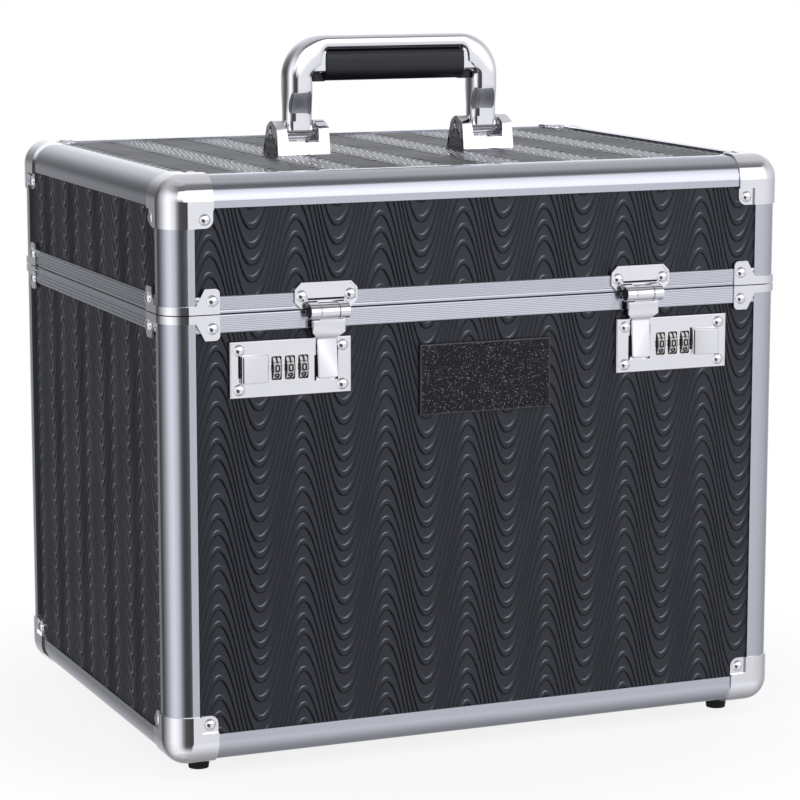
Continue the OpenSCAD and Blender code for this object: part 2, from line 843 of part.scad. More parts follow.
// Rear hinges, in the back wall's frame about the parting line
module hinge_leaf(knuckles) {
    low = seam / 2 + 0.2;
    difference() {
        union() {
            translate([0, low + (leaf_h - low) / 2, 0]) linear_extrude(leaf_t)
                square([hinge_w, leaf_h - low], center = true);
            for (n = knuckles) knuckle(n[0], n[1], 0, hinge_off, hinge_barrel_r, leaf_t, low, hinge_web);
        }
        children();
        drill([for (t = [-1, 1]) [t * hinge_rivet_x, hinge_rivet_y]]);
    }
}

module hinge_rod(r) {
    translate([-hinge_w / 2, 0, hinge_off]) rotate([0, 90, 0]) cylinder(r = r, h = hinge_w);
}

hinge_third = hinge_w / 6;

module at_hinges() {
    for (s = [-1, 1]) on_wall(2) translate([s * hinge_x, part_z, 0]) children();
}

module hinge_case_leaves() {
    inner = hinge_third + free_gap / 2;
    color(chrome) at_hinges() mirror([0, 1, 0])
        hinge_leaf([[-hinge_w / 2, -inner], [inner, hinge_w / 2]]) hinge_rod(hinge_pin_r + fix_gap);
}

module hinge_lid_leaves() {
    inner = hinge_third - free_gap / 2;
    color(chrome) at_hinges() hinge_leaf([[-inner, inner]]) hinge_rod(hinge_pin_r + run_gap);
}

module hinge_pins() {
    color("darkgray") at_hinges() hinge_rod(hinge_pin_r);
}

// Hasps, in the front wall's frame about the parting line
module at_hasp(side) {
    on_wall(0) translate([side * hasp_x, part_z, 0]) flip([1, 0, 0], side < 0) children();
}

module hasp_rod(r, length) {
    translate([-length / 2, -hasp_axis_drop, hasp_off]) rotate([0, 90, 0]) cylinder(r = r, h = length);
}

module octagon_plate(w, h, c) {
    polygon([[-w / 2, c], [-w / 2 + c, 0], [w / 2 - c, 0], [w / 2, c],
        [w / 2, h - c], [w / 2 - c, h], [-w / 2 + c, h], [-w / 2, h - c]]);
}

module hasp_plates() {
    low = seam / 2 + 0.2;
    chamfer = 4;
    border = 1.2;
    notch_h = hasp_barrel_r - hasp_axis_drop + free_gap;
    color(chrome) for (side = [-1, 1]) at_hasp(side) difference() {
        union() {
            difference() {
                translate([0, low, 0]) linear_extrude(hasp_t)
                    octagon_plate(hasp_plate_w, hasp_plate_h, chamfer);
                translate([0, low + border, hasp_t - hasp_sink]) linear_extrude(past)
                    octagon_plate(hasp_plate_w - 2 * border, hasp_plate_h - 2 * border, chamfer - border / 2);
                translate([-knuckle_l, 0, -past]) cube([2 * knuckle_l, notch_h, hasp_t + 2 * past]);
            }
            for (s = [-1, 1]) flip([1, 0, 0], s < 0)
                knuckle(knuckle_l, 2 * knuckle_l, -hasp_axis_drop, hasp_off, hasp_barrel_r, hasp_t, low, hasp_web);
        }
        hasp_rod(hasp_pin_r + fix_gap, hasp_barrel_l + past);
        drill([for (t = [-1, 1]) [t * hasp_rivet_x, hasp_rivet_y]]);
    }
}

module hasp_pins() {
    color("darkgray") for (side = [-1, 1]) at_hasp(side) hasp_rod(hasp_pin_r, hasp_barrel_l);
}

// The arm is its front outline cut to its side outline
module hasp(side) {
    neck = knuckle_l - free_gap;
    shoulder = hasp_barrel_r + 0.5;
    wide_low = 12.4;
    narrow_top = 16;
    nose = 1.6;
    arm_t = 2.5;
    arm_top = hasp_off + 1;
    lift = 2;
    color(chrome) at_hasp(side) difference() {
        union() {
            hasp_rod(hasp_barrel_r, 2 * neck);
            translate([0, -hasp_axis_drop, 0]) intersection() {
                linear_extrude(arm_top + past) polygon([
                    [-neck, 0], [neck, 0], [neck, -shoulder],
                    [arm_wide / 2, -shoulder], [arm_wide / 2, -wide_low],
                    [arm_narrow / 2, -narrow_top], [arm_narrow / 2, -arm_reach + nose],
                    [arm_narrow / 2 - nose, -arm_reach], [-arm_narrow / 2 + nose, -arm_reach],
                    [-arm_narrow / 2, -arm_reach + nose], [-arm_narrow / 2, -narrow_top],
                    [-arm_wide / 2, -wide_low], [-arm_wide / 2, -shoulder], [-neck, -shoulder]]);
                translate([-arm_wide / 2, 0, 0]) rotate([90, 0, 90]) linear_extrude(arm_wide) polygon([
                    [0, arm_top], [0, arm_top - arm_t], [-wide_low + 1, arm_top - arm_t],
                    [-narrow_top, arm_back], [-arm_reach, arm_back],
                    [-arm_reach, arm_back + arm_t + lift / 2], [-arm_reach + nose, arm_back + arm_t + lift],
                    [-narrow_top - 1, arm_back + arm_t], [-wide_low, arm_top]]);
            }
        }
        hasp_rod(hasp_pin_r + run_gap, hasp_barrel_l);
        translate([arm_narrow / 2 - 1, catch_y - lock_drop - catch_h / 2 - free_gap, -past])
            cube([arm_narrow, catch_h + 2 * free_gap, past + arm_back + catch_t]);
    }
}

module hasp_left() { hasp(-1); }
module hasp_right() { hasp(1); }

// Carrying handle
module ear_profile() {
    translate([0, pivot_h + skin]) circle(ear_r);
    polygon([[-ear_d / 2, 0], [ear_d / 2, 0], [ear_r - 0.2, pivot_h + skin], [-ear_r + 0.2, pivot_h + skin]]);
}

module pin_along_x(x0, x1, r) {
    translate([x0, 0, pivot_z]) rotate([0, 90, 0]) cylinder(r = r, h = x1 - x0);
}

module handle_brackets() {
    full = ear_gap + 2 * ear_t;
    color(chrome) for (s = [-1, 1]) translate([s * handle_x, 0, 0]) difference() {
        union() {
            translate([-full / 2, -ear_d / 2, bracket_seat]) cube([full, ear_d, skin + base_h]);
            for (x = [-full / 2, ear_gap / 2]) translate([x, 0, bracket_seat])
                rotate([90, 0, 90]) linear_extrude(ear_t) ear_profile();
        }
        pin_along_x(-full / 2 - past, full / 2 + past, handle_pin_r + fix_gap);
        for (t = [-1, 1]) translate([0, t * bracket_screw_y, bracket_seat - past])
            cylinder(r = hole_r, h = past + skin + bracket_screw_depth - past / 2);
    }
}

module handle_pins() {
    full = ear_gap + 2 * ear_t;
    color("darkgray") for (s = [-1, 1]) translate([s * handle_x, 0, 0])
        pin_along_x(-full / 2 + 0.5, full / 2 - 0.5, handle_pin_r);
}

module grip_body(grow) {
    translate([-grip_l / 2 - grow, 0, grip_low + grip_h / 2]) rotate([90, 0, 90])
        linear_extrude(grip_l + 2 * grow) rounded_plate(grip_d + 2 * grow, grip_h + 2 * grow, 7);
}

module handle_frame() {
    outer = handle_x + leg_w / 2;
    bend_x = outer - handle_r;
    bend_z = top_z + handle_top - handle_r;
    shoulder_t = handle_t - 2;
    color(chrome) difference() {
        union() {
            for (m = [false, true]) flip([1, 0, 0], m) {
                translate([handle_x, 0, pivot_z]) linear_extrude(bend_z - pivot_z)
                    rounded_plate(leg_w, handle_t, handle_edge_r);
                pin_along_x(outer - leg_w + 1, outer - 1, handle_t / 2 - 0.3);
                translate([bend_x, 0, bend_z]) rotate([90, 0, 0]) rotate_extrude(angle = 90)
                    translate([handle_r - leg_w / 2, 0]) rounded_plate(leg_w, handle_t, handle_edge_r);
                translate([grip_l / 2, -shoulder_t / 2, shoulder_low])
                    cube([leg_inner + 2 - grip_l / 2, shoulder_t, spine_low - shoulder_low + spine_h / 2]);
            }
            translate([-bend_x, 0, spine_low + spine_h / 2]) rotate([90, 0, 90])
                linear_extrude(2 * bend_x) rounded_plate(handle_t, spine_h, handle_edge_r);
        }
        grip_body(sheet_gap);
        for (m = [false, true]) flip([1, 0, 0], m)
            pin_along_x(outer - leg_w - past, outer + past, handle_pin_r + run_gap);
    }
}

module grip() {
    tab_low = grip_low - 1.2;
    tab_t = handle_t - 4;
    tab_l = leg_inner - grip_l / 2 - 1;
    color(rubber) {
        grip_body(0);
        for (m = [false, true]) flip([1, 0, 0], m)
            translate([grip_l / 2 - past, -tab_t / 2, tab_low])
                cube([past + tab_l, tab_t, shoulder_low - sheet_gap - tab_low]);
    }
}

// Lift-out tray
module tray_ledges() {
    length = case_d - 2 * edge_leg - 40;
    color(alloy) for (k = [1, 3]) on_wall(k) translate([-length / 2, tray_low, -wall_t])
        rotate([0, 90, 0]) linear_extrude(length) {
            translate([0, -ledge_reach]) square([ledge_t, ledge_reach]);
            translate([0, -ledge_t]) square([ledge_reach, ledge_t]);
        }
}

module tray() {
    grip_w = 70;
    grip_slot_h = 16;
    color(felt) difference() {
        translate([0, 0, tray_low]) linear_extrude(tray_h) rounded_plate(tray_w, tray_d, tray_r);
        translate([0, 0, tray_low + tray_wall]) linear_extrude(tray_h)
            rounded_plate(tray_w - 2 * tray_wall, tray_d - 2 * tray_wall, tray_r - tray_wall);
        translate([-tray_w / 2 - past, 0, tray_low + tray_h - grip_slot_h]) rotate([90, 0, 90])
            linear_extrude(tray_w + 2 * past) rounded_plate(grip_w, grip_slot_h, 6);
    }
}

module tray_dividers() {
    length = tray_d - 2 * tray_wall - free_gap;
    pitch = (tray_w - 2 * tray_wall) / (divider_count + 1);
    color(felt) for (i = [1 : divider_count])
        translate([i * pitch - tray_w / 2 + tray_wall - divider_t / 2, -length / 2, tray_low + tray_wall])
            cube([divider_t, length, divider_h]);
}

front_panel();
back_panel();
left_panel();
right_panel();
bottom_panel();
corner_posts();
bottom_edges_long();
bottom_edges_short();
case_rim_long();
case_rim_short();
bottom_joiners();
bottom_caps();
case_rim_brackets();
case_rivets();
feet();
lock_plate_left();
lock_plate_right();
lock_covers();
wheel_shafts();
badge_plate();
hinge_case_leaves();
hinge_pins();
case_lining();
tray_ledges();
lid_top_panel();
lid_front_panel();
lid_back_panel();
lid_left_panel();
lid_right_panel();
lid_posts();
top_edges_long();
top_edges_short();
lid_rim_long();
lid_rim_short();
top_joiners();
top_caps();
lid_rim_brackets();
lid_rivets();
hasp_plates();
hasp_pins();
hinge_lid_leaves();
handle_brackets();
handle_pins();
lid_lining();
handle_frame();
grip();
hasp_left();
hasp_right();
slider_left();
slider_right();
wheel_left_1();
wheel_left_2();
wheel_left_3();
wheel_right_1();
wheel_right_2();
wheel_right_3();
tray();
tray_dividers();
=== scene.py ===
"""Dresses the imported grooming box: embossed skins, metal trim, number dials, badge, grip, lining, tray and stage."""

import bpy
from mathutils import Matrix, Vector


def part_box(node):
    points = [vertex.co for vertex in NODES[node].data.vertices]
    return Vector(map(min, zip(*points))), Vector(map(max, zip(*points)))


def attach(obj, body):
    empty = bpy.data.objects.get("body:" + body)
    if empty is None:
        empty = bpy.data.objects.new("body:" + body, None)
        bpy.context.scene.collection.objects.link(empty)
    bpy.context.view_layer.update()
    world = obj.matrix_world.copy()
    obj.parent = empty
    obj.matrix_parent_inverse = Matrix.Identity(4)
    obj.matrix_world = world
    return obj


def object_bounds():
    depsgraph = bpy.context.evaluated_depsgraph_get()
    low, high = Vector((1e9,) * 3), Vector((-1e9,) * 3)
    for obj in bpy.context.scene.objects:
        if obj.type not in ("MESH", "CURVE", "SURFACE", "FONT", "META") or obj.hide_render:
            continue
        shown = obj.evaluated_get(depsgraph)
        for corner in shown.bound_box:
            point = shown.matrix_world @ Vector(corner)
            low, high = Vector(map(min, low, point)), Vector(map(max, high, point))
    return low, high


bl_info = {
    "name": "Grooming Box Looks",
    "version": (1, 0, 0),
    "blender": (4, 5, 0),
    "location": "3D View > Sidebar > Grooming Box",
    "description": "Adds the embossed skins, dial numerals, finishes and studio to the packed grooming box",
    "category": "Object",
}

import math

import bmesh
import bpy
import numpy as np
from bpy.props import FloatProperty, FloatVectorProperty, IntProperty, PointerProperty
from mathutils import Matrix, Vector

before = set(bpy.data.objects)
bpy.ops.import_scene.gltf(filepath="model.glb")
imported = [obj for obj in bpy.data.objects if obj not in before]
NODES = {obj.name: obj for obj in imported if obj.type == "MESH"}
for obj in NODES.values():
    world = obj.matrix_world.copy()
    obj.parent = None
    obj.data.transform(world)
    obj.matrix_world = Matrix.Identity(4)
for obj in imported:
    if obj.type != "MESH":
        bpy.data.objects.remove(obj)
CAD_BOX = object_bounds()
MM = 0.001
TURN = 2 * math.pi
SIDES = ("left", "right")
WHITE = (1.0, 1.0, 1.0)
POCKET = 6 * MM  # how far a panel reaches into its edge profile
CAP_PAD = 10.5 * MM  # a cap's pad on the visible panel
FACE_GAP = 0.02 * MM  # between a piece and the CAD face that it lies on
# Sizes of the CAD parts that the trim fits
BRACKET_W = 35 * MM
SLIDER_W = 17 * MM
ARM_SLOT_W = 13.5 * MM
HASP_FACE = -148.7 * MM  # front to back
HASP_AXIS = (-152.7 * MM, 273.2 * MM)  # front to back, and over the floor
BARREL_R, BARREL_L = 4.6 * MM, 24.2 * MM


def amount(label, about, value, low=0.0, **more):
    return FloatProperty(name=label, description=about, default=value, min=low, **more)


def length(label, about, mm):
    return amount(label, about, mm * MM, unit="LENGTH", precision=5)


def share(label, about, value):
    return amount(label, about, value, max=1.0, subtype="FACTOR")


def count(label, about, value, low, high):
    return IntProperty(name=label, description=about, default=value, min=low, max=high)


def shade(thing, value):
    return FloatVectorProperty(name=thing.capitalize(), description="Colour of the " + thing, default=value, size=3,
                               min=0.0, max=1.0, subtype="COLOR")


class EmbossSettings(bpy.types.PropertyGroup):
    """The wavy relief of the panel skins."""

    pitch: length("Wave pitch", "Width of one whole wave along a panel", 52.9)
    rise: length("Wave rise", "Height of a wave from its middle to its tip", 35.4)
    crest: length("Crest height", "How far a band stands over the skin at its tips", 0.28)
    base: length("Skin thickness", "Skin between the bands, over the board", 0.10)
    columns: count("Columns", "Mesh columns in one wave", 30, 12, 64)
    board: shade("skin's slopes", (0.0142, 0.0152, 0.0218))
    # The grooves' colour is painted shade and the crests' colour a painted highlight, laid on the relief by its tone
    low: shade("skin's grooves", (0.0068, 0.0072, 0.0100))
    high: shade("skin's crests", (0.2000, 0.2080, 0.2300))
    roughness: share("Skin roughness", "Roughness of the satin skin", 0.34)
    edge_roughness: share("Edge roughness", "Roughness of the skin along the upper edge of a band", 0.09)


class MetalSettings(bpy.types.PropertyGroup):
    """Aluminium, chrome and steel."""

    aluminium: shade("anodised profiles", (0.590, 0.600, 0.650))
    aluminium_roughness: share("Aluminium roughness", "Roughness of the satin profiles", 0.16)
    chrome: shade("caps, brackets and handle", (0.91, 0.905, 0.925))
    chrome_roughness: share("Chrome roughness", "Roughness of polished fittings", 0.03)
    plate: shade("lock plates and hasps", (0.92, 0.905, 0.935))
    plate_roughness: share("Plate roughness", "Roughness of lock plates and hasps", 0.13)
    ribs: count("Ribs", "Fine ribs on the face of a long rim; a short one has half as many", 8, 1, 12)
    soft_edge: length("Soft edge", "Rounding of pressed plates along their edges", 0.9)
    rib_h: length("Rib height", "How far a rib stands off a short rim", 0.45)
    seam_band: length("Seam band", "Plain band of a rim beside the parting line", 2.2)
    rib_edge: length("Rim edge", "Plain band of a rim at its outer edge", 0.5)
    handle_bend: length("Handle bend", "Outer radius of the handle's bends", 26)
    leg_w: length("Leg width", "Width of the casting at a handle leg", 17.7)
    corner_w: length("Corner width", "Width of the casting across a bend", 21.6)
    spine_w: length("Spine height", "Height of the casting over the grip", 9.8)
    leg_t: length("Leg thickness", "Thickness of the casting at a pivot", 14)
    bend_t: length("Bend thickness", "Thickness of the casting at the bends", 19.2)
    cover_low: length("Casting start", "Where the casting starts, over the floor", 372)
    shoulder_x: length("Shoulder place", "Middle of a grip shoulder from the middle of the box", 52)
    shoulder_w: length("Shoulder width", "Width of a grip shoulder", 11.2)
    shoulder_h: length("Shoulder drop", "From the top of the grip down to the foot of a shoulder", 13.6)
    apron_slope: share("Apron slope", "Lean of a bracket's front face", 0.16)
    apron_back: share("Apron back slope", "Lean of a bracket's rear face", 0.40)
    apron_top: length("Apron top", "Top of a bracket's sloping foot, over the floor", 358.55)
    ear_w: length("Ear width", "Width of a bracket's ear", 7)
    ear_top: length("Ear top", "Top of an ear's face, over the floor", 367.9)
    ear_round: length("Ear round", "Rise from the top of an ear's face to the top of the ear", 3.3)
    # The dark slot beside a slide button is painted shade
    slot_w: length("Slot width", "Width of the dark slot beside a slide button", 1.5)
    slot_h: length("Slot height", "Height of the dark slot beside a slide button", 13.6)
    dome_r: length("Rivet radius", "Radius of a rivet's polished dome", 3.6)
    dome_h: length("Rivet height", "Height of a rivet's polished dome", 1.95)
    dome_seat: length("Rivet seat", "From the top of a rivet down to its seat", 1.7)
    cover_gap: length("Casting gap", "Gap between the casting and the frame in it", 0.1)
    steel: shade("joiners and lock covers", (0.30, 0.30, 0.32))
    pin: shade("pins and shafts", (0.60, 0.60, 0.62))


class FittingSettings(bpy.types.PropertyGroup):
    """Dials, badge, grip, feet, lining and tray."""

    numeral_h: length("Numeral height", "Height of a numeral on a dial", 4.7)
    numeral_t: length("Numeral thickness", "How far a numeral stands off its dial", 0.06)
    dial: shade("number wheels", (0.93, 0.93, 0.94))
    ink: shade("numerals", (0.012, 0.012, 0.014))
    grip: shade("handle's grip", (0.0120, 0.0130, 0.0178))
    grip_l: length("Grip length", "Length of the sleeve on the grip", 92.6)
    grip_h: length("Grip height", "Height of the grip", 19.2)
    grip_drop: length("Grip drop", "From the top of the grip down to its sleeve", 0.3)
    grip_edge: amount("Sleeve top", "How square the sleeve is along its top", 5.0, 2.0, max=12.0)
    grip_foot: amount("Sleeve foot", "How square the sleeve is along its foot", 3.0, 2.0, max=12.0)
    rubber: shade("feet", (0.012, 0.012, 0.013))
    badge: shade("badge plate", (0.0085, 0.0091, 0.0145))
    flake: length("Flake size", "Size of a glitter flake in the badge", 0.36)
    felt: shade("lining", (0.018, 0.018, 0.021))
    tray: shade("lift-out tray", (0.030, 0.030, 0.033))


class StageSettings(bpy.types.PropertyGroup):
    """Floor, light and camera."""

    floor: shade("floor", (0.86, 0.86, 0.86))
    floor_r: length("Floor radius", "Radius of the round floor", 480)
    fill: share("Fill light", "Level of the even light from all round", 0.50)
    top_lamp: amount("Top lamp", "Power of the soft lamp overhead", 9.0, unit="POWER")
    side_lamp: amount("Side lamp", "Power of the soft lamp at the left", 5.0, unit="POWER")
    lens: amount("Lens", "Focal length of the camera", 134.25, 1.0, subtype="DISTANCE_CAMERA")


def scaled(colour, factor):
    return tuple(factor * c for c in colour)


class Graph:
    """Adds and joins the nodes of one material or world."""

    def __init__(self, owner):
        owner.use_nodes = True
        self.owner, self.tree = owner, owner.node_tree
        self.tree.nodes.clear()

    def add(self, kind, sockets=None, **settings):
        node = self.tree.nodes.new("ShaderNode" + kind)
        for key, value in settings.items():
            setattr(node, key, value)
        for key, value in (sockets or {}).items():
            self.feed(node.inputs[key], value)
        return node

    def feed(self, socket, value):
        if isinstance(value, bpy.types.NodeSocket):
            self.tree.links.new(value, socket)
        elif socket.type == "RGBA" and len(value) == 3:
            socket.default_value = (*value, 1.0)
        else:
            socket.default_value = value

    def math(self, operation, a, b=0.0):
        return self.add("Math", {0: a, 1: b}, operation=operation).outputs[0]

    def mix(self, factor, a, b, blend="MIX"):
        """Colours a and b, mixed by factor."""
        sockets = {"Factor": factor, 6: a, 7: b}
        return self.add("Mix", sockets, data_type="RGBA", blend_type=blend).outputs[2]

    def ramp(self, source, stops, smooth=False):
        """A tone or colour that runs from stop to stop as source grows."""
        node = self.add("ValToRGB", {"Fac": source})
        node.color_ramp.interpolation = "EASE" if smooth else "LINEAR"
        marks = node.color_ramp.elements
        while len(marks) < len(stops):
            marks.new(1.0)
        for mark, (place, value) in zip(marks, stops):
            mark.position = place
            mark.color = (value, value, value, 1.0) if isinstance(value, float) else (*value, 1.0)
        return node.outputs["Color"]

    def vary(self, source, colour, low, high=1.0):
        """colour, from low to high times as bright."""
        return self.ramp(source, [(0.3, scaled(colour, low)), (0.7, scaled(colour, high))])

    def spread(self, source, low, high):
        """source, from 0 to 1, spread from low to high."""
        return self.add("MapRange", {"Value": source, "To Min": low, "To Max": high}).outputs["Result"]

    def place(self, scale=(1.0, 1.0, 1.0)):
        """Object coordinates, stretched."""
        coords = self.add("TexCoord").outputs["Object"]
        return self.add("Mapping", {"Vector": coords, "Scale": scale}).outputs["Vector"]

    def noise(self, vector, scale, detail=2.0, roughness=0.5):
        sockets = {"Vector": vector, "Scale": scale, "Detail": detail, "Roughness": roughness}
        return self.add("TexNoise", sockets).outputs["Fac"]

    def bump(self, height, depth, strength):
        return self.add("Bump", {"Height": height, "Distance": depth, "Strength": strength}).outputs["Normal"]

    def seen_ray(self, path):
        """1 for a ray that comes straight or through glass from the camera."""
        return self.math("MAXIMUM", path["Is Camera Ray"], path["Is Transmission Ray"])

    def surface(self, **sockets):
        """Ends a material in one principled shader; underscores in the names stand for spaces."""
        shader = self.add("BsdfPrincipled", {key.replace("_", " "): value for key, value in sockets.items()})
        self.add("OutputMaterial", {"Surface": shader.outputs[0]})
        return self.owner


def finish(name):
    """The graph of a new material."""
    return Graph(bpy.data.materials.new(name))


def board_finish(s):
    """Satin skin, with painted shade in its grooves and a painted highlight along its crests."""
    g = finish("embossed_board")
    edge = g.add("Attribute", attribute_name="tone").outputs["Fac"]
    at = g.place()
    grain = g.noise(at, 1700.0, 3.0, 0.6)
    clouds = g.noise(at, 24.0)
    # Painted shade in the grooves and painted highlights along the crests, by the tone attribute
    ground = g.ramp(edge, [(0.0, s.low), (0.50, s.board), (1.0, s.high)])
    tone = g.mix(1.0, ground, g.vary(clouds, WHITE, 0.86), "MULTIPLY")
    worn = g.ramp(edge, [(0.0, s.roughness - 0.08), (0.50, s.roughness), (1.0, s.edge_roughness)])
    rough = g.math("ADD", worn, g.math("ADD", g.spread(grain, -0.06, 0.06), g.spread(clouds, -0.03, 0.03)))
    gleam = g.ramp(edge, [(0.0, 0.20), (0.30, 0.38), (0.50, 0.60), (0.9, 1.0)])
    return g.surface(Base_Color=tone, Roughness=rough, Normal=g.bump(grain, 0.05 * MM, 0.4),
                     Specular_IOR_Level=gleam, Specular_Tint=(0.87, 0.905, 1.0))


def aluminium_finish(s, axis):
    """Satin metal with the fine draw lines of an extrusion along one axis."""
    g = finish("aluminium_along_" + "xyz"[axis])
    lines = g.noise(g.place(tuple(6.0 if i == axis else 1500.0 for i in range(3))), 1.0, 3.0, 0.65)
    clouds = g.noise(g.place(), 18.0)
    colour = g.ramp(lines, [(0.25, scaled(s.aluminium, 0.975)), (0.75, s.aluminium)])
    satin = s.aluminium_roughness
    rough = g.math("ADD", g.spread(lines, satin - 0.02, satin + 0.02), g.spread(clouds, -0.02, 0.02))
    return g.surface(Base_Color=colour, Metallic=1.0, Roughness=rough, Normal=g.bump(lines, 0.003 * MM, 0.4))


def plated_finish(name, colour, roughness, smear=0.02, grain=0.0):
    """Polished plating with faint handling marks."""
    g = finish(name)
    at = g.place()
    marks = g.noise(at, 45.0, 4.0, 0.6)
    fine = g.noise(at, 900.0)
    worn = g.ramp(marks, [(0.42, roughness), (0.80, roughness + smear)])
    return g.surface(Base_Color=g.vary(marks, colour, 0.97), Metallic=1.0,
                     Roughness=g.math("ADD", worn, g.spread(fine, 0.0, grain)), Normal=g.bump(fine, 0.004 * MM, 0.35))


def felt_finish(s):
    """Short pile with a soft nap."""
    g = finish("felt_lining")
    at = g.place()
    fibre = g.noise(at, 2600.0, 4.0, 0.7)
    nap = g.noise(at, 60.0, 3.0)
    pile = g.math("ADD", g.math("MULTIPLY", fibre, 0.7), g.math("MULTIPLY", nap, 0.3))
    return g.surface(Base_Color=g.vary(pile, s.felt, 0.55, 1.5), Roughness=g.spread(nap, 0.88, 0.98),
                     Normal=g.bump(fibre, 0.25 * MM, 0.8), Sheen_Weight=0.35, Sheen_Roughness=0.5,
                     Specular_IOR_Level=0.15)


def moulded_finish(name, colour, roughness, grain_scale, grain_depth, gleam=0.5):
    """Moulded plastic or rubber with a fine spark-eroded grain."""
    g = finish(name)
    at = g.place()
    sockets = {"Vector": at, "Scale": grain_scale, "Smoothness": 0.6}
    cells = g.add("TexVoronoi", sockets, feature="SMOOTH_F1").outputs["Distance"]
    clouds = g.noise(at, 40.0, 3.0)
    rough = g.math("ADD", g.spread(clouds, roughness - 0.05, roughness + 0.05), g.spread(cells, -0.04, 0.04))
    return g.surface(Base_Color=g.vary(clouds, colour, 0.85, 1.15), Roughness=rough,
                     Normal=g.bump(cells, grain_depth, 0.6), Specular_IOR_Level=gleam)


def dial_finish(s):
    """Pale plastic round a number wheel, and black on its two flanks as painted shade."""
    g = finish("dial_plastic")
    across = g.add("SeparateXYZ", {0: g.add("NewGeometry").outputs["True Normal"]}).outputs[0]
    grain = g.noise(g.place(), 900.0, 3.0)
    # Black where the surface faces sideways: painted shade on the wheel's flanks
    flank = g.math("GREATER_THAN", g.math("ABSOLUTE", across), 0.3)
    return g.surface(Base_Color=g.mix(flank, g.vary(grain, s.dial, 0.92), s.ink),
                     Roughness=g.spread(grain, 0.28, 0.40), Normal=g.bump(grain, 0.01 * MM, 0.4))


def glitter_finish(s):
    """Black enamel strewn with small flakes that catch the light."""
    g = finish("badge_glitter")
    cell = g.add("TexVoronoi", {"Vector": g.place(), "Scale": 1.0 / s.flake})
    chance = g.add("SeparateColor", {"Color": cell.outputs["Color"]}).outputs
    colour = g.ramp(chance[0], [(0.0, s.badge), (0.87, scaled(s.badge, 1.3)),
                                (0.95, (0.035, 0.037, 0.045)), (0.995, (0.62, 0.63, 0.68))])
    return g.surface(Base_Color=colour, Roughness=g.spread(chance[1], 0.20, 0.50),
                     Normal=g.bump(chance[2], 0.10 * MM, 0.6), Specular_IOR_Level=0.22)


def coat(material, *nodes):
    """Gives every slot of some CAD nodes one finish."""
    for node in nodes:
        for slot in NODES[node].material_slots:
            slot.material = material


def soften(node, width, segments=3):
    """Rounds the sharp edges of a CAD node for the eye."""
    modifiers = NODES[node].modifiers
    modifiers.new("weld", "WELD").merge_threshold = 1e-6
    bevel = modifiers.new("soft_edges", "BEVEL")
    bevel.width, bevel.segments = width, segments
    bevel.limit_method, bevel.angle_limit = "ANGLE", math.radians(50)
    bevel.use_clamp_overlap = False
    modifiers.new("flat_faces", "WEIGHTED_NORMAL").weight = 100


def piece(name, mesh, body, material):
    """A new object that rides on a body."""
    made = bpy.data.objects.new(name, mesh)
    bpy.context.scene.collection.objects.link(made)
    mesh.materials.clear()
    mesh.materials.append(material)
    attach(made, body)


def spot(*places):
    """A point from pairs of an axis and a value."""
    point = [0.0, 0.0, 0.0]
    for axis, value in places:
        point[axis] = value
    return point


def band(bm, a, b, smooth=False):
    """Faces between two closed rings of as many corners."""
    for n in range(len(a)):
        bm.faces.new((a[n - 1], a[n], b[n], b[n - 1])).smooth = smooth


def block(bm, low, high):
    """A closed box between two corners."""
    for v in bmesh.ops.create_cube(bm, size=1)["verts"]:
        v.co = [(a + b) / 2 + c * (b - a) for a, b, c in zip(low, high, v.co)]


def cut(bm, place, way, near, **more):
    """Cuts bm along a plane; corners near it stay whole."""
    everything = bm.verts[:] + bm.edges[:] + bm.faces[:]
    bmesh.ops.bisect_plane(bm, geom=everything, dist=near, plane_co=place, plane_no=way, **more)


def made_mesh(bm, name):
    """A new mesh from bm, with its faces turned outwards."""
    bmesh.ops.recalc_face_normals(bm, faces=bm.faces)
    mesh = bpy.data.meshes.new(name)
    bm.to_mesh(mesh)
    bm.free()
    return mesh


def swept(name, rings, smooth=True):
    """A closed solid through rings of points, flat at both ends."""
    bm = bmesh.new()
    loops = [[bm.verts.new(point) for point in ring] for ring in rings]
    for a, b in zip(loops, loops[1:]):
        band(bm, a, b, smooth)
    for ring in (loops[0], loops[-1]):
        for edge in bm.faces.new(ring).edges:
            edge.smooth = False
    return made_mesh(bm, name)


def bracket_spans():
    """The left and right end of each handle bracket."""
    low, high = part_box("handle_brackets")
    return (low[0], low[0] + BRACKET_W), (high[0] - BRACKET_W, high[0])


# One row per skin: its panel, out axis and sign, and where in mm a wave tips along the panel and a line tips up it
SKINS = (
    ("front", (1, -1), -10.6, 18.6), ("back", (1, 1), 4.0, 24.0),
    ("left", (0, -1), -95.75, 20.0), ("right", (0, 1), -80.0, 33.0),
    ("lid_front", (1, -1), -14.2, 286.4), ("lid_back", (1, 1), 9.0, 288.0),
    ("lid_left", (0, -1), -77.5, 282.0), ("lid_right", (0, 1), -60.0, 286.0),
    ("lid_top", (2, 1), -11.9, 3.0),
)
# Overtones of a wave: how many times as fast, and the shares of their cosine and sine
OVERTONES = ((2, 0.027, 0.017), (3, -0.025, -0.010))
LINE_STEPS = (11.0, 9.75, 9.75, 11.9, 11.65)  # from one line up to the next, then round again
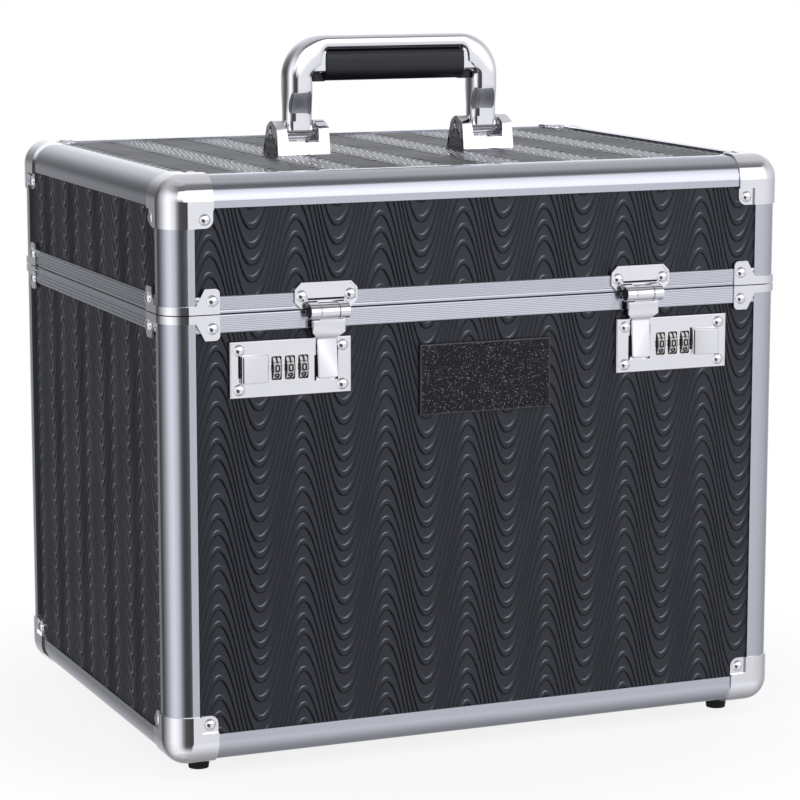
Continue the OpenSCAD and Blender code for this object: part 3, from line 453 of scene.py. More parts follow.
# A band's cross section: mm under its crest, mm that a hollow of the wave, a falling flank and a climbing flank add,
# and the band's height and its painted tone there: over 0.5 a painted highlight, under 0.5 painted shade
BAND = (
    (-0.7, 0.0, 0.0, -1.2, 0.0, 0.5), (-0.4, 0.0, 0.0, -0.8, 0.05, 0.7), (-0.2, 0.0, 0.0, -0.4, 0.5, 1.0),
    (0.05, 0.0, 0.0, 0.4, 0.93, 1.0), (0.25, 0.0, 0.0, 0.8, 1.0, 0.7), (0.5, 0.0, 0.0, 1.2, 1.0, 0.5),
    (2.0, 0.8, -1.3, -1.3, 0.98, 0.5), (2.35, 0.8, -1.2, -1.2, 0.9, 0.35), (2.6, 0.8, 0.6, 0.8, 0.45, 0.0),
    (2.9, 0.8, 2.4, 2.6, 0.02, 0.2), (3.3, 0.8, 2.8, 3.2, 0.0, 0.5),
)
FLAT_TONE = 0.5
SIDE_PAINTED_TONES = {0.7: 1.0, FLAT_TONE: 0.40}  # at the left and right the painted highlights on the crests are brighter and the flats darker with painted shade
CROWDING = 0.34  # how far the mesh columns crowd towards the tips of a wave
LINE_SPARE = 15 * MM  # how far past a panel's edges its lines still start
SKIN_SPARE = 4 * MM  # how far past a panel's edges the sheet is made before it is cut
PAINTED_GLINT_SLOPE, PAINTED_GLINT_WIDTH = 0.5, (1.15, 0.75)  # the slope where a crest's painted highlight is brightest, and how far that spreads, by out axis
TOP_CREST = 1.2  # height of the lid top's crests, of the others
UNEVEN, UNEVEN_UP, UNEVEN_ALONG = 0.10, 17 * MM, 23 * MM  # share by which the crests vary, and how slowly
PAINTED_SHADE_CLIMB = 0.55  # how fast a groove's painted shade fades on a climbing flank
STEEP_CREST = -0.12  # the power by which a crest sinks on a steep flank
PRESSED = 0.05 * MM  # thickness of the skin under a fitting


def wave_shape(turn):
    """The wave of a line, from a tip at turn 0."""
    shape = np.cos(turn)
    for times, even, odd in OVERTONES:
        shape = shape + even * (np.cos(times * turn) - 1) + odd * np.sin(times * turn)
    return shape


def flat_zones(panel, along, up, low, high):
    """Rectangles of a panel that something lies on, where the skin stays flat."""
    zones = []
    if panel == "front_panel":
        for node in ("badge_plate", "lock_plate_left", "lock_plate_right"):
            a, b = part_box(node)
            zones.append((a[along] + MM, b[along] - MM, a[up] + MM, b[up] - MM))
    if panel == "lid_top_panel":
        a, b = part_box("handle_brackets")
        zones += [(x0 + MM, x1 - MM, a[1] + MM, b[1] - MM) for x0, x1 in bracket_spans()]
    ends = {"lid_top_panel": (0, 1)}.get(panel, (1,) if panel.startswith("lid") else (0,))
    for end in ends:
        v0, v1 = (high[1] - CAP_PAD, high[1]) if end else (low[1], low[1] + CAP_PAD)
        zones += [(low[0], low[0] + CAP_PAD, v0, v1), (high[0] - CAP_PAD, high[0], v0, v1)]
    return zones


def line_tips(panel, low, high, tip, rise):
    """Where the lines of a skin tip, from below the panel to above it."""
    steps = LINE_STEPS[::-1] if panel.startswith("lid") else LINE_STEPS
    tips, at, n = [], tip * MM, 0
    while at > low - LINE_SPARE:
        n -= 1
        at -= steps[n % len(steps)] * MM
    while at < high + 2 * rise + LINE_SPARE:
        tips.append(at)
        at += steps[n % len(steps)] * MM
        n += 1
    return tips


def cell_corners(grid):
    """The four corners of each cell of a grid."""
    return np.stack([grid[:-1, :-1], grid[1:, :-1], grid[1:, 1:], grid[:-1, 1:]], axis=-1)


def skin_sheet(panel, out, tips, axes, low, high, s):
    """A skin's upper side as a flat-lying mesh: along, up, and height over the panel, with its painted tones of
    highlight and shade.
    """
    axis, sign = out
    on_top = panel == "lid_top_panel"
    start = tips[0] * MM
    reach = [(edge - start) / s.pitch * s.columns for edge in (low[0], high[0])]
    turn = TURN / s.columns * np.arange(math.floor(reach[0]) - 2, math.ceil(reach[1]) + 3)
    column = start + s.pitch * (turn - CROWDING * np.sin(2 * turn)) / TURN
    turn = TURN * (column - start) / s.pitch
    wave = s.rise * (wave_shape(turn) - 1)
    slope = np.gradient(wave, column)
    rightward = slope * (-sign if axis == 1 else sign)
    flank = 1 - (1 + slope ** 2) ** -0.5
    climb = np.where(rightward > 0, flank, 0.0)
    hollow = 0.5 - 0.5 * np.cos(turn)
    # How far a groove's painted shade fades, and how strong a crest's painted highlight is, by the slope of the flank
    painted_shade_fade = np.clip(PAINTED_SHADE_CLIMB * climb, 0, 1)
    if on_top:
        painted_glint = np.clip(1.0 + slope, 0, 1)
    else:
        painted_glint = np.exp(-((rightward - PAINTED_GLINT_SLOPE) / PAINTED_GLINT_WIDTH[axis]) ** 2)
    changed = SIDE_PAINTED_TONES if axis == 0 else {}
    flat = changed.get(FLAT_TONE, FLAT_TONE)
    rows, lifts, tones = [], [], []
    for tip in reversed(line_tips(panel, low[1], high[1], tips[1], s.rise)):
        for under, deeper, falling, climbing, lift, tone in BAND:
            rows.append(tip - (under + deeper * hollow + falling * (flank - climb) + climbing * climb) * MM + wave)
            lifts.append(lift)
            tone = changed.get(tone, tone)
            # Tones over the flat tone are painted highlights, tones under it painted shade
            tones.append(flat + (tone - flat) * (painted_glint if tone > flat else 1 - painted_shade_fade))
    rows, lifts, tones = np.array(rows), np.array(lifts), np.array(tones)
    uneven = 1 + UNEVEN * np.sin(rows / UNEVEN_UP + column[None, :] / UNEVEN_ALONG)
    crest = s.crest * (TOP_CREST if on_top else 1.0)
    height = s.base + crest * lifts[:, None] * (1 + slope ** 2)[None, :] ** STEEP_CREST * uneven
    u = np.broadcast_to(column, rows.shape)
    for u0, u1, v0, v1 in flat_zones(panel, *axes, low, high):
        away = np.maximum.reduce([u0 - u, u - u1, v0 - rows, rows - v1]) / MM
        height = np.where(away < 1, PRESSED + (height - PRESSED) * np.clip(away, 0, 1), height)

    inside = (u > low[0] - SKIN_SPARE) & (u < high[0] + SKIN_SPARE)
    inside &= (rows > low[1] - SKIN_SPARE) & (rows < high[1] + SKIN_SPARE)
    number = np.arange(rows.size).reshape(rows.shape)
    used, quads = np.unique(cell_corners(number)[cell_corners(inside).any(axis=-1)], return_inverse=True)
    points = np.stack([u.ravel(), rows.ravel(), height.ravel()], axis=-1)[used]
    sheet = bpy.data.meshes.new("skin_sheet")
    sheet.from_pydata(points.tolist(), [], quads.reshape(-1, 4).tolist())
    tone = sheet.attributes.new("tone", "FLOAT", "POINT")
    tone.data.foreach_set("value", tones.ravel()[used].astype(np.float32))
    return sheet


def skin_mesh(name, panel, out, tips, s):
    """A closed sheet on a panel's face, raised in wavy lines."""
    axis, sign = out
    along, up = axes = [k for k in range(3) if k != axis]
    lowest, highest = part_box(panel)
    low, high = [lowest[k] + POCKET for k in axes], [highest[k] - POCKET for k in axes]
    sheet = skin_sheet(panel, out, tips, axes, low, high, s)
    bm = bmesh.new()
    bm.from_mesh(sheet)
    bpy.data.meshes.remove(sheet)
    for k in (0, 1):
        for edge, way in ((low[k] + FACE_GAP, -1), (high[k] - FACE_GAP, 1)):
            cut(bm, spot((k, edge)), spot((k, way)), 1e-7, clear_outer=True)
    for face in bm.faces:
        face.smooth = True
    rim = [e for e in bm.edges if e.is_boundary]
    for e in rim:
        e.smooth = False
    wall = bmesh.ops.extrude_edge_only(bm, edges=rim)["geom"]
    for v in wall:
        if isinstance(v, bmesh.types.BMVert):
            v.co.z = FACE_GAP
    foot = [e for e in wall if isinstance(e, bmesh.types.BMEdge) and e.is_boundary]
    bmesh.ops.contextual_create(bm, geom=foot)
    face_at = (highest if sign > 0 else lowest)[axis]
    for v in bm.verts:
        v.co = spot((along, v.co.x), (up, v.co.y), (axis, face_at + sign * v.co.z))
    return made_mesh(bm, name)


class GROOMING_OT_skins(bpy.types.Operator):
    """Lays the embossed skins on the panels"""

    bl_idname = "grooming.skins"
    bl_label = "Embossed Skins"

    def execute(self, context):
        s = context.scene.grooming_emboss
        material = board_finish(s)
        for side, out, *tips in SKINS:
            name, panel = side + "_skin", side + "_panel"
            body = "lid" if side.startswith("lid") else "case"
            piece(name, skin_mesh(name, panel, out, tips, s), body, material)
            coat(material, panel)
        coat(material, "bottom_panel")
        return {"FINISHED"}


RIM_FACES = (("front", "long", (1, -1)), ("back", "long", (1, 1)),
             ("left", "short", (0, -1)), ("right", "short", (0, 1)))
RIM_BRACKET = 13.5 * MM  # of a rim's length, hidden under each corner bracket
RIB_PROFILE = ((0.0, 0.1), (0.14, 1.0), (0.60, 1.0), (0.72, 0.8), (0.82, 0.1))  # up a rib, and its height
LONG_RIB = 1 / 6  # height of a long rim's rib, of a short rim's


def rib_mesh(name, rim, out, s):
    """A thin ribbed face along a rim, from its seam band to its outer edge."""
    lowest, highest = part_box(rim)
    axis, sign = out
    along = 1 - axis
    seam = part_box("lid_rim_long")[0][2]
    low, high = lowest[2] + s.rib_edge, seam - s.seam_band
    if rim.startswith("lid"):
        low, high = seam + s.seam_band, highest[2] - s.rib_edge
    ribs, rib_h = (s.ribs, s.rib_h * LONG_RIB) if axis == 1 else (s.ribs // 2, s.rib_h)
    pitch = (high - low) / ribs
    ridges = [(low + (n + part) * pitch, level * rib_h) for n in range(ribs) for part, level in RIB_PROFILE]
    outline = [(low, 0.0), *ridges, (high, 0.0)]
    face = (highest if sign > 0 else lowest)[axis]
    ends = (lowest[along] + RIM_BRACKET, highest[along] - RIM_BRACKET)
    rings = [[spot((along, u), (axis, face + sign * (h + FACE_GAP)), (2, z)) for z, h in outline] for u in ends]
    return swept(name, rings, smooth=False)


class GROOMING_OT_profiles(bpy.types.Operator):
    """Finishes the aluminium edge profiles, rims and ledges, and ribs the rims"""

    bl_idname = "grooming.profiles"
    bl_label = "Aluminium Profiles"

    def execute(self, context):
        s = context.scene.grooming_metal
        metals = [aluminium_finish(s, axis) for axis in range(3)]
        coat(metals[0], "bottom_edges_long", "top_edges_long", "case_rim_long", "lid_rim_long")
        coat(metals[1], "bottom_edges_short", "top_edges_short", "case_rim_short", "lid_rim_short", "tray_ledges")
        coat(metals[2], "corner_posts", "lid_posts")
        for node in ("case_rim_long", "lid_rim_long", "case_rim_short", "lid_rim_short"):
            soften(node, 0.4 * MM, 2)
        for body in ("case", "lid"):
            for side, run, out in RIM_FACES:
                name = f"{body}_ribs_{side}"
                piece(name, rib_mesh(name, f"{body}_rim_{run}", out, s), body, metals[1 - out[0]])
        return {"FINISHED"}


CASTING_STEPS = 24  # along a leg of the casting, and round a bend
CASTING_POINTS = 40  # round the casting
CASTING_ROUND = 3.4  # how square the casting is
THICKEN_FROM, THICKEN_OVER = 4 * MM, 16 * MM  # from the casting's start to where it thickens, and the run that takes
SHOULDER_ROUND = 0.8 * MM
SHOULDER_DROP = 0.6 * MM  # from the top of the grip down to the top of a shoulder
APRON_GAP = 0.1 * MM  # between an apron and the bracket and panel at its back and foot
APRON_ROUND = 0.5 * MM
INLAY = 0.04 * MM  # how far a strip of painted shade reaches in front of and behind the face that it marks
# The painted shade on each side of a hasp's arm, as a dark slot: its way, width and height
ARM_SHADOWS = ((-1, 0.8 * MM, 15 * MM), (1, 0.5 * MM, 21 * MM))
ARM_GAP = 0.42 * MM  # between a hasp's arm and the side of its slot
ARM_DEEP = (0.1 * MM, 0.8 * MM)  # from a lock plate's face back to the front and rear of the painted shade that fills that gap
ARM_FOOT = 1.0 * MM  # from a hasp's foot down to the foot of its dark slots of painted shade
# Colour of the painted shade in the lock slots and over the hasps' barrels
SLOT_DARK = (0.010, 0.010, 0.012)
# The painted shade of a groove over a hasp's barrel: how far it stops short of the barrel's ends and starts over it,
# and its height
GROOVE_SHORT, GROOVE_RISE, GROOVE_H = 0.6 * MM, 1.6 * MM, 1.2 * MM
BARREL_WALL, BARREL_DISC = 0.7 * MM, 0.12 * MM  # the wall round a barrel's open end, and the thickness of the dark disc of painted shade in it
DOME_RINGS, DOME_POINTS = 9, 28


def ease(x):
    """A smooth step from 0 to 1."""
    x = min(1.0, max(0.0, x))
    return x * x * (3 - 2 * x)


def squared(turn, power):
    """A point of the unit round, drawn out towards a square as power grows from 2."""
    return [math.copysign(abs(v) ** (2 / power), v) for v in (math.cos(turn), math.sin(turn))]


def handle_cover_mesh(s):
    """A polished casting round the handle frame, fuller at its bends than at its pivots."""
    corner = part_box("handle_frame")[1]
    side, top = corner[0] + s.cover_gap, corner[2] + s.cover_gap
    bend = s.handle_bend + s.cover_gap
    stations = []
    for n in range(CASTING_STEPS + 1):
        z = s.cover_low + (top - bend - s.cover_low) * n / CASTING_STEPS
        stations.append(((side, z), (-1.0, 0.0), s.leg_w, z))
    for n in range(1, CASTING_STEPS + 1):
        turn = math.radians(90 * n / CASTING_STEPS)
        c, d = math.cos(turn), math.sin(turn)
        # Wide by the tenth step of the bend, and slim again over its last eight
        width = s.leg_w + (s.corner_w - s.leg_w) * ease(n / 10) + (s.spine_w - s.corner_w) * ease(n / 8 - 2)
        stations.append(((side - bend + bend * c, top - bend + bend * d), (-c, -d), width, top))
    stations += [((x * (side - bend), top), (0.0, -1.0), s.spine_w, top) for x in (0.66, 0.33)]
    half = []
    for (x, z), inward, width, level in stations:
        thick = s.leg_t + (s.bend_t - s.leg_t) * ease((level - s.cover_low - THICKEN_FROM) / THICKEN_OVER)
        ring = []
        for k in range(CASTING_POINTS):
            c, d = squared(TURN * k / CASTING_POINTS, CASTING_ROUND)
            across = width / 2 * (1 + c)
            ring.append((x + inward[0] * across, thick / 2 * d, z + inward[1] * across))
        half.append(ring)
    return swept("handle_cover", half + [[(-x, y, z) for x, y, z in ring] for ring in reversed(half)])


def shoulder_mesh(s):
    """Two blocks that carry the ends of the grip."""
    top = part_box("grip")[1][2]
    wide, deep = s.shoulder_w / 2, (s.bend_t - SHOULDER_ROUND) / 2
    bm = bmesh.new()
    for x in (-s.shoulder_x, s.shoulder_x):
        block(bm, (x - wide, -deep, top - s.shoulder_h), (x + wide, deep, top - SHOULDER_DROP))
    bmesh.ops.bevel(bm, geom=bm.edges[:], offset=SHOULDER_ROUND, segments=3, profile=0.5, affect="EDGES")
    return made_mesh(bm, "handle_shoulders")


def bracket_apron_mesh(s):
    """The sloping face in front of and behind each handle bracket: a foot and two ears in one piece."""
    low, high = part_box("handle_brackets")
    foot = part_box("lid_top_panel")[1][2] + APRON_GAP
    # How far an apron's back lies inside the bracket, and how far it rises, at the foot, the foot's top and the ears
    back = {foot: (0.6 * MM, 0.0), s.apron_top: (3.5 * MM, 0.0), s.ear_top: (7.9 * MM, s.ear_round)}
    bm = bmesh.new()
    for x0, x1 in bracket_spans():
        a, b = x0 + s.ear_w, x1 - s.ear_w
        outline = ((x0, foot), (x1, foot), (x1, s.ear_top), (b, s.ear_top), (b, s.apron_top),
                   (a, s.apron_top), (a, s.ear_top), (x0, s.ear_top))
        for face, way, slope in ((low[1] - APRON_GAP, -1, s.apron_slope), (high[1] + APRON_GAP, 1, s.apron_back)):
            front = [bm.verts.new((x, face + way * (s.apron_top - z) * slope, z)) for x, z in outline]
            rear = [bm.verts.new((x, face - way * back[z][0], z + back[z][1])) for x, z in outline]
            bm.faces.new(front)
            bm.faces.new(rear)
            band(bm, front, rear)
            border = [bm.edges.get(pair) for pair in zip(front[1:], front[2:] + front[:1])]
            bmesh.ops.bevel(bm, geom=border, offset=APRON_ROUND, segments=2, profile=0.5, affect="EDGES")
    return made_mesh(bm, "bracket_aprons")


def lock_shadow_mesh(s):
    """Painted shade on a lock plate, as dark slots: left of the slide button, and on both sides of the hasp's arm."""
    bm = bmesh.new()
    for side in SIDES:
        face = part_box("lock_plate_" + side)[0][1]
        skin, deep = (face - INLAY, face + INLAY), [face + d for d in ARM_DEEP]
        low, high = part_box("slider_" + side)
        button = high[0] - SLIDER_W if side == "right" else low[0]
        middle = (low[2] + high[2]) / 2
        block(bm, (button - s.slot_w, skin[0], middle - s.slot_h / 2), (button, skin[1], middle + s.slot_h / 2))
        low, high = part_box("hasp_" + side)
        foot = low[2] - ARM_FOOT
        for way, wide, tall in ARM_SHADOWS:
            edge = (low[0] + high[0] + way * ARM_SLOT_W) / 2
            for near, far, depth in ((edge, edge + way * wide, skin), (edge - way * ARM_GAP, edge, deep)):
                block(bm, (near, depth[0], foot), (far, depth[1], foot + tall))
    return made_mesh(bm, "lock_shadows")


def hasp_shadow_mesh():
    """Painted shade: a dark strip for the groove over each hasp's barrel, and dark discs in the barrel's open ends."""
    half, hole = BARREL_L / 2 - GROOVE_SHORT, BARREL_R - BARREL_WALL
    bm = bmesh.new()
    for side in SIDES:
        low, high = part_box("hasp_" + side)
        axis = Vector(((low[0] + high[0]) / 2, *HASP_AXIS))
        groove = axis.z + BARREL_R + GROOVE_RISE
        block(bm, (axis.x - half, HASP_FACE - INLAY, groove),
              (axis.x + half, HASP_FACE + INLAY, groove + GROOVE_H))
        for end in (-BARREL_L / 2, BARREL_L / 2):
            place = Matrix.Translation(axis + Vector((end, 0, 0))) @ Matrix.Rotation(math.pi / 2, 4, "Y")
            bmesh.ops.create_cone(bm, cap_ends=True, segments=32, radius1=hole, radius2=hole, depth=BARREL_DISC,
                                  matrix=place)
    return made_mesh(bm, "hasp_shadows")


# Across the rounded edge of a plate: how far outside the plate and how far in front of its face, in mm
PLATE_EDGE = ((-0.35, -0.3), (-0.35, 0.05), (0.0, 0.05), (0.25, -0.06), (0.43, -0.24), (0.52, -0.5), (0.52, -1.3),
              (-0.35, -1.3))


def plate_edge_mesh(plate):
    """The rounded edge round a lock plate or the badge."""
    lowest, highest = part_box(plate)
    bm = bmesh.new()
    loops = []
    for sx, sz in ((-1, -1), (1, -1), (1, 1), (-1, 1)):
        x, z = (highest if sx > 0 else lowest)[0], (highest if sz > 0 else lowest)[2]
        loops.append([bm.verts.new((x + sx * away * MM, lowest[1] - front * MM, z + sz * away * MM))
                      for away, front in PLATE_EDGE])
    for n in range(len(loops)):
        band(bm, loops[n - 1], loops[n])
    return made_mesh(bm, plate + "_edge")


def loose_parts(mesh):
    """The corners of each separate solid in a mesh."""
    bm = bmesh.new()
    bm.from_mesh(mesh)
    bmesh.ops.remove_doubles(bm, verts=bm.verts, dist=1e-6)
    seen, parts = set(), []
    for start in bm.verts:
        if start in seen:
            continue
        seen.add(start)
        part, todo = [], [start]
        while todo:
            v = todo.pop()
            part.append(v.co.copy())
            for e in v.link_edges:
                other = e.other_vert(v)
                if other not in seen:
                    seen.add(other)
                    todo.append(other)
        parts.append(np.array(part))
    bm.free()
    return parts


def rivet_domes_mesh(node, s):
    """A polished dome over the head of each rivet."""
    middle = (0.0, 0.0, (CAD_BOX[0][2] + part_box("lid_top_panel")[1][2]) / 2)
    spins = [TURN * k / DOME_POINTS for k in range(DOME_POINTS)]
    bm = bmesh.new()
    for part in loose_parts(NODES[node].data):
        low, high = part.min(axis=0), part.max(axis=0)
        sizes, centre = high - low, (low + high) / 2
        axis = min(range(3), key=lambda k: abs(sizes[(k + 1) % 3] - sizes[(k + 2) % 3]))
        side, up = (axis + 1) % 3, (axis + 2) % 3
        sign = 1.0 if centre[axis] > middle[axis] else -1.0
        seat = (high if sign > 0 else low)[axis] - sign * s.dome_seat
        rings = []
        for n in range(DOME_RINGS):
            turn = math.radians(90 * n / DOME_RINGS)
            level, r = seat + sign * s.dome_h * math.sin(turn), s.dome_r * math.cos(turn)
            rings.append([bm.verts.new(spot((axis, level), (side, centre[side] + r * math.cos(spin)),
                                            (up, centre[up] + r * math.sin(spin)))) for spin in spins])
        crown = bm.verts.new(spot((axis, seat + sign * s.dome_h), (side, centre[side]), (up, centre[up])))
        for a, b in zip(rings, rings[1:]):
            band(bm, a, b, True)
        for k in range(DOME_POINTS):
            bm.faces.new((rings[-1][k], rings[-1][k - 1], crown)).smooth = True
        for edge in bm.faces.new(rings[0]).edges:
            edge.smooth = False
    return made_mesh(bm, node + "_domes")


class GROOMING_OT_fittings(bpy.types.Operator):
    """Finishes caps, brackets, rivets, locks, hasps, hinges and handle"""

    bl_idname = "grooming.fittings"
    bl_label = "Chrome Fittings"

    def execute(self, context):
        s = context.scene.grooming_metal
        polished = plated_finish("polished_chrome", s.chrome, s.chrome_roughness)
        satin = plated_finish("plate_nickel", s.plate, s.plate_roughness, 0.06, 0.04)
        domed = plated_finish("rivet_nickel", s.chrome, s.chrome_roughness + 0.03, 0.04, 0.02)
        inner = plated_finish("inner_steel", s.steel, 0.42, 0.10, 0.08)
        pins = plated_finish("pin_steel", s.pin, 0.28, 0.08, 0.05)
        coat(polished, "top_caps", "bottom_caps", "handle_frame", "handle_brackets", "case_rim_brackets",
             "lid_rim_brackets")
        coat(satin, "hasp_plates", "hinge_case_leaves", "hinge_lid_leaves")
        coat(domed, "case_rivets", "lid_rivets")
        coat(inner, "bottom_joiners", "top_joiners", "lock_covers")
        coat(pins, "handle_pins", "hasp_pins", "hinge_pins", "wheel_shafts")
        for side in SIDES:
            coat(satin, "lock_plate_" + side, "hasp_" + side, "slider_" + side)
            soften("slider_" + side, 0.7 * s.soft_edge)
            soften("hasp_" + side, 0.5 * s.soft_edge)
        soften("handle_brackets", 0.8 * s.soft_edge)
        piece("handle_cover", handle_cover_mesh(s), "handle", polished)
        piece("handle_shoulders", shoulder_mesh(s), "handle", polished)
        piece("bracket_aprons", bracket_apron_mesh(s), "lid", polished)
        # Dark sheets that paint shade into the lock slots and over the hasps' barrels
        shadow = moulded_finish("slot_shadow", SLOT_DARK, 0.5, 1800.0, 0.01 * MM, 0.2)
        piece("lock_shadows", lock_shadow_mesh(s), "case", shadow)
        piece("hasp_shadows", hasp_shadow_mesh(), "lid", shadow)
        for side in SIDES:
            piece("lock_edge_" + side, plate_edge_mesh("lock_plate_" + side), "case", satin)
        for body in ("case", "lid"):
            piece(body + "_rivet_domes", rivet_domes_mesh(body + "_rivets", s), body, domed)
        return {"FINISHED"}


NUMERAL_BOLD = 0.03  # how far a numeral's outline is thickened, of its type size
NUMERAL_WIDE = 1.12  # how far a numeral is widened
NUMERAL_CUTS = 8  # bands across a numeral, so that it bends round its wheel


def numeral_outline(digit, height, thickness):
    """One numeral as a thin solid, centred, upright in x and y."""
    text = bpy.data.curves.new("numeral", "FONT")
    text.body = str(digit)
    text.align_x, text.align_y = "CENTER", "CENTER"
    text.resolution_u = 4
    text.extrude = 0.5
    text.offset = NUMERAL_BOLD
    made = bpy.data.objects.new("numeral", text)
    bpy.context.scene.collection.objects.link(made)
    bpy.context.view_layer.update()
    mesh = bpy.data.meshes.new_from_object(made.evaluated_get(bpy.context.evaluated_depsgraph_get()))
    bpy.data.objects.remove(made)
    bpy.data.curves.remove(text)
    bm = bmesh.new()
    bm.from_mesh(mesh)
    bpy.data.meshes.remove(mesh)
    bmesh.ops.remove_doubles(bm, verts=bm.verts, dist=1e-5)
    xs = [v.co.x for v in bm.verts]
    ys = [v.co.y for v in bm.verts]
    middle = Vector(((min(xs) + max(xs)) / 2, (min(ys) + max(ys)) / 2, 0))
    size = height / (max(ys) - min(ys))
    for v in bm.verts:
        x, y = v.co.x - middle.x, v.co.y - middle.y
        v.co = Vector((x * size * NUMERAL_WIDE, y * size, thickness if v.co.z > 0 else 0.0))
    for n in range(1 - NUMERAL_CUTS // 2, NUMERAL_CUTS // 2):
        cut(bm, (0, n * height / NUMERAL_CUTS, 0), (0, 1, 0), 1e-8)
    return bm


def numerals_mesh(node, name, outlines):
    """The ten numerals round a number wheel."""
    lowest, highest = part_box(node)
    middle = (Vector(lowest) + Vector(highest)) / 2
    radius = (highest[1] - lowest[1]) / 2 + FACE_GAP
    bm = bmesh.new()
    for digit, outline in enumerate(outlines):
        corners = []
        for v in outline.verts:
            turn = math.radians(360 / len(outlines) * digit) + v.co.y / radius
            y, z = (radius + v.co.z) * math.cos(turn), (radius + v.co.z) * math.sin(turn)
            corners.append(bm.verts.new((middle.x + v.co.x, middle.y - y, middle.z + z)))
        outline.verts.index_update()
        for f in outline.faces:
            bm.faces.new([corners[v.index] for v in f.verts])
    return made_mesh(bm, name)


class GROOMING_OT_dials(bpy.types.Operator):
    """Finishes the number wheels and sets their ten numerals"""

    bl_idname = "grooming.dials"
    bl_label = "Number Dials"

    def execute(self, context):
        s = context.scene.grooming_fittings
        wheel = dial_finish(s)
        ink = moulded_finish("numeral_ink", s.ink, 0.45, 3000.0, 0.01 * MM)
        outlines = [numeral_outline(d, s.numeral_h, s.numeral_t) for d in range(10)]
        for side in SIDES:
            for n in (1, 2, 3):
                node, name = f"wheel_{side}_{n}", f"numerals_{side}_{n}"
                coat(wheel, node)
                soften(node, 0.7 * MM, 1)
                piece(name, numerals_mesh(node, name, outlines), node, ink)
        for outline in outlines:
            outline.free()
        return {"FINISHED"}


SLEEVE_POINTS = 56  # round the grip's sleeve
SLEEVE_GAP = 0.2 * MM  # between the sleeve and the grip in it


def grip_sleeve_mesh(s):
    """The sleeve round the grip, flat in front and rounded below."""
    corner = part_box("grip")[1]
    low, high = corner[2] - s.grip_h - SLEEVE_GAP, corner[2] - s.grip_drop
    deep = corner[1] + SLEEVE_GAP
    outline = []
    for n in range(SLEEVE_POINTS):
        turn = TURN * n / SLEEVE_POINTS
        c, d = squared(turn, s.grip_edge if math.sin(turn) > 0 else s.grip_foot)
        outline.append((deep * c, (low + high) / 2 + (high - low) / 2 * d))
    rings = [[(part * s.grip_l, y, z) for y, z in outline] for part in (-0.5, -0.25, 0.0, 0.25, 0.5)]
    return swept("grip_sleeve", rings)


class GROOMING_OT_soft_trim(bpy.types.Operator):
    """Finishes the grip, feet, badge plate, lining and tray"""

    bl_idname = "grooming.soft_trim"
    bl_label = "Grip, Badge, Lining and Tray"

    def execute(self, context):
        s = context.scene.grooming_fittings
        grip = moulded_finish("grip_plastic", s.grip, 0.44, 1500.0, 0.06 * MM, 0.55)
        coat(grip, "grip")
        piece("grip_sleeve", grip_sleeve_mesh(s), "handle", grip)
        coat(moulded_finish("foot_rubber", s.rubber, 0.72, 1800.0, 0.05 * MM, 0.3), "feet")
        coat(glitter_finish(s), "badge_plate")
        enamel = moulded_finish("badge_enamel", scaled(s.badge, 1.5), 0.20, 1800.0, 0.01 * MM, 1.0)
        piece("badge_edge", plate_edge_mesh("badge_plate"), "case", enamel)
        coat(felt_finish(s), "case_lining", "lid_lining")
        coat(moulded_finish("tray_plastic", s.tray, 0.46, 1400.0, 0.05 * MM), "tray", "tray_dividers")
        return {"FINISHED"}


def floor_finish(s):
    """A pale floor that keeps a soft shadow near the box and fades into the white ground."""
    g = finish("studio_floor")
    at = g.add("TexCoord").outputs["Object"]
    far = g.add("VectorMath", {0: at}, operation="LENGTH").outputs["Value"]
    pale = g.add("BsdfDiffuse", {"Color": g.vary(g.noise(at, 400.0), s.floor, 0.97)}).outputs[0]
    white = g.add("Emission", {"Color": WHITE, "Strength": 1.0}).outputs[0]
    fade = g.ramp(g.math("DIVIDE", far, s.floor_r), [(0.40, 0.86), (0.80, 1.0)], smooth=True)
    shown = g.math("MULTIPLY", g.seen_ray(g.add("LightPath").outputs), fade)
    g.add("OutputMaterial", {"Surface": g.add("MixShader", {0: shown, 1: pale, 2: white}).outputs[0]})
    return g.owner


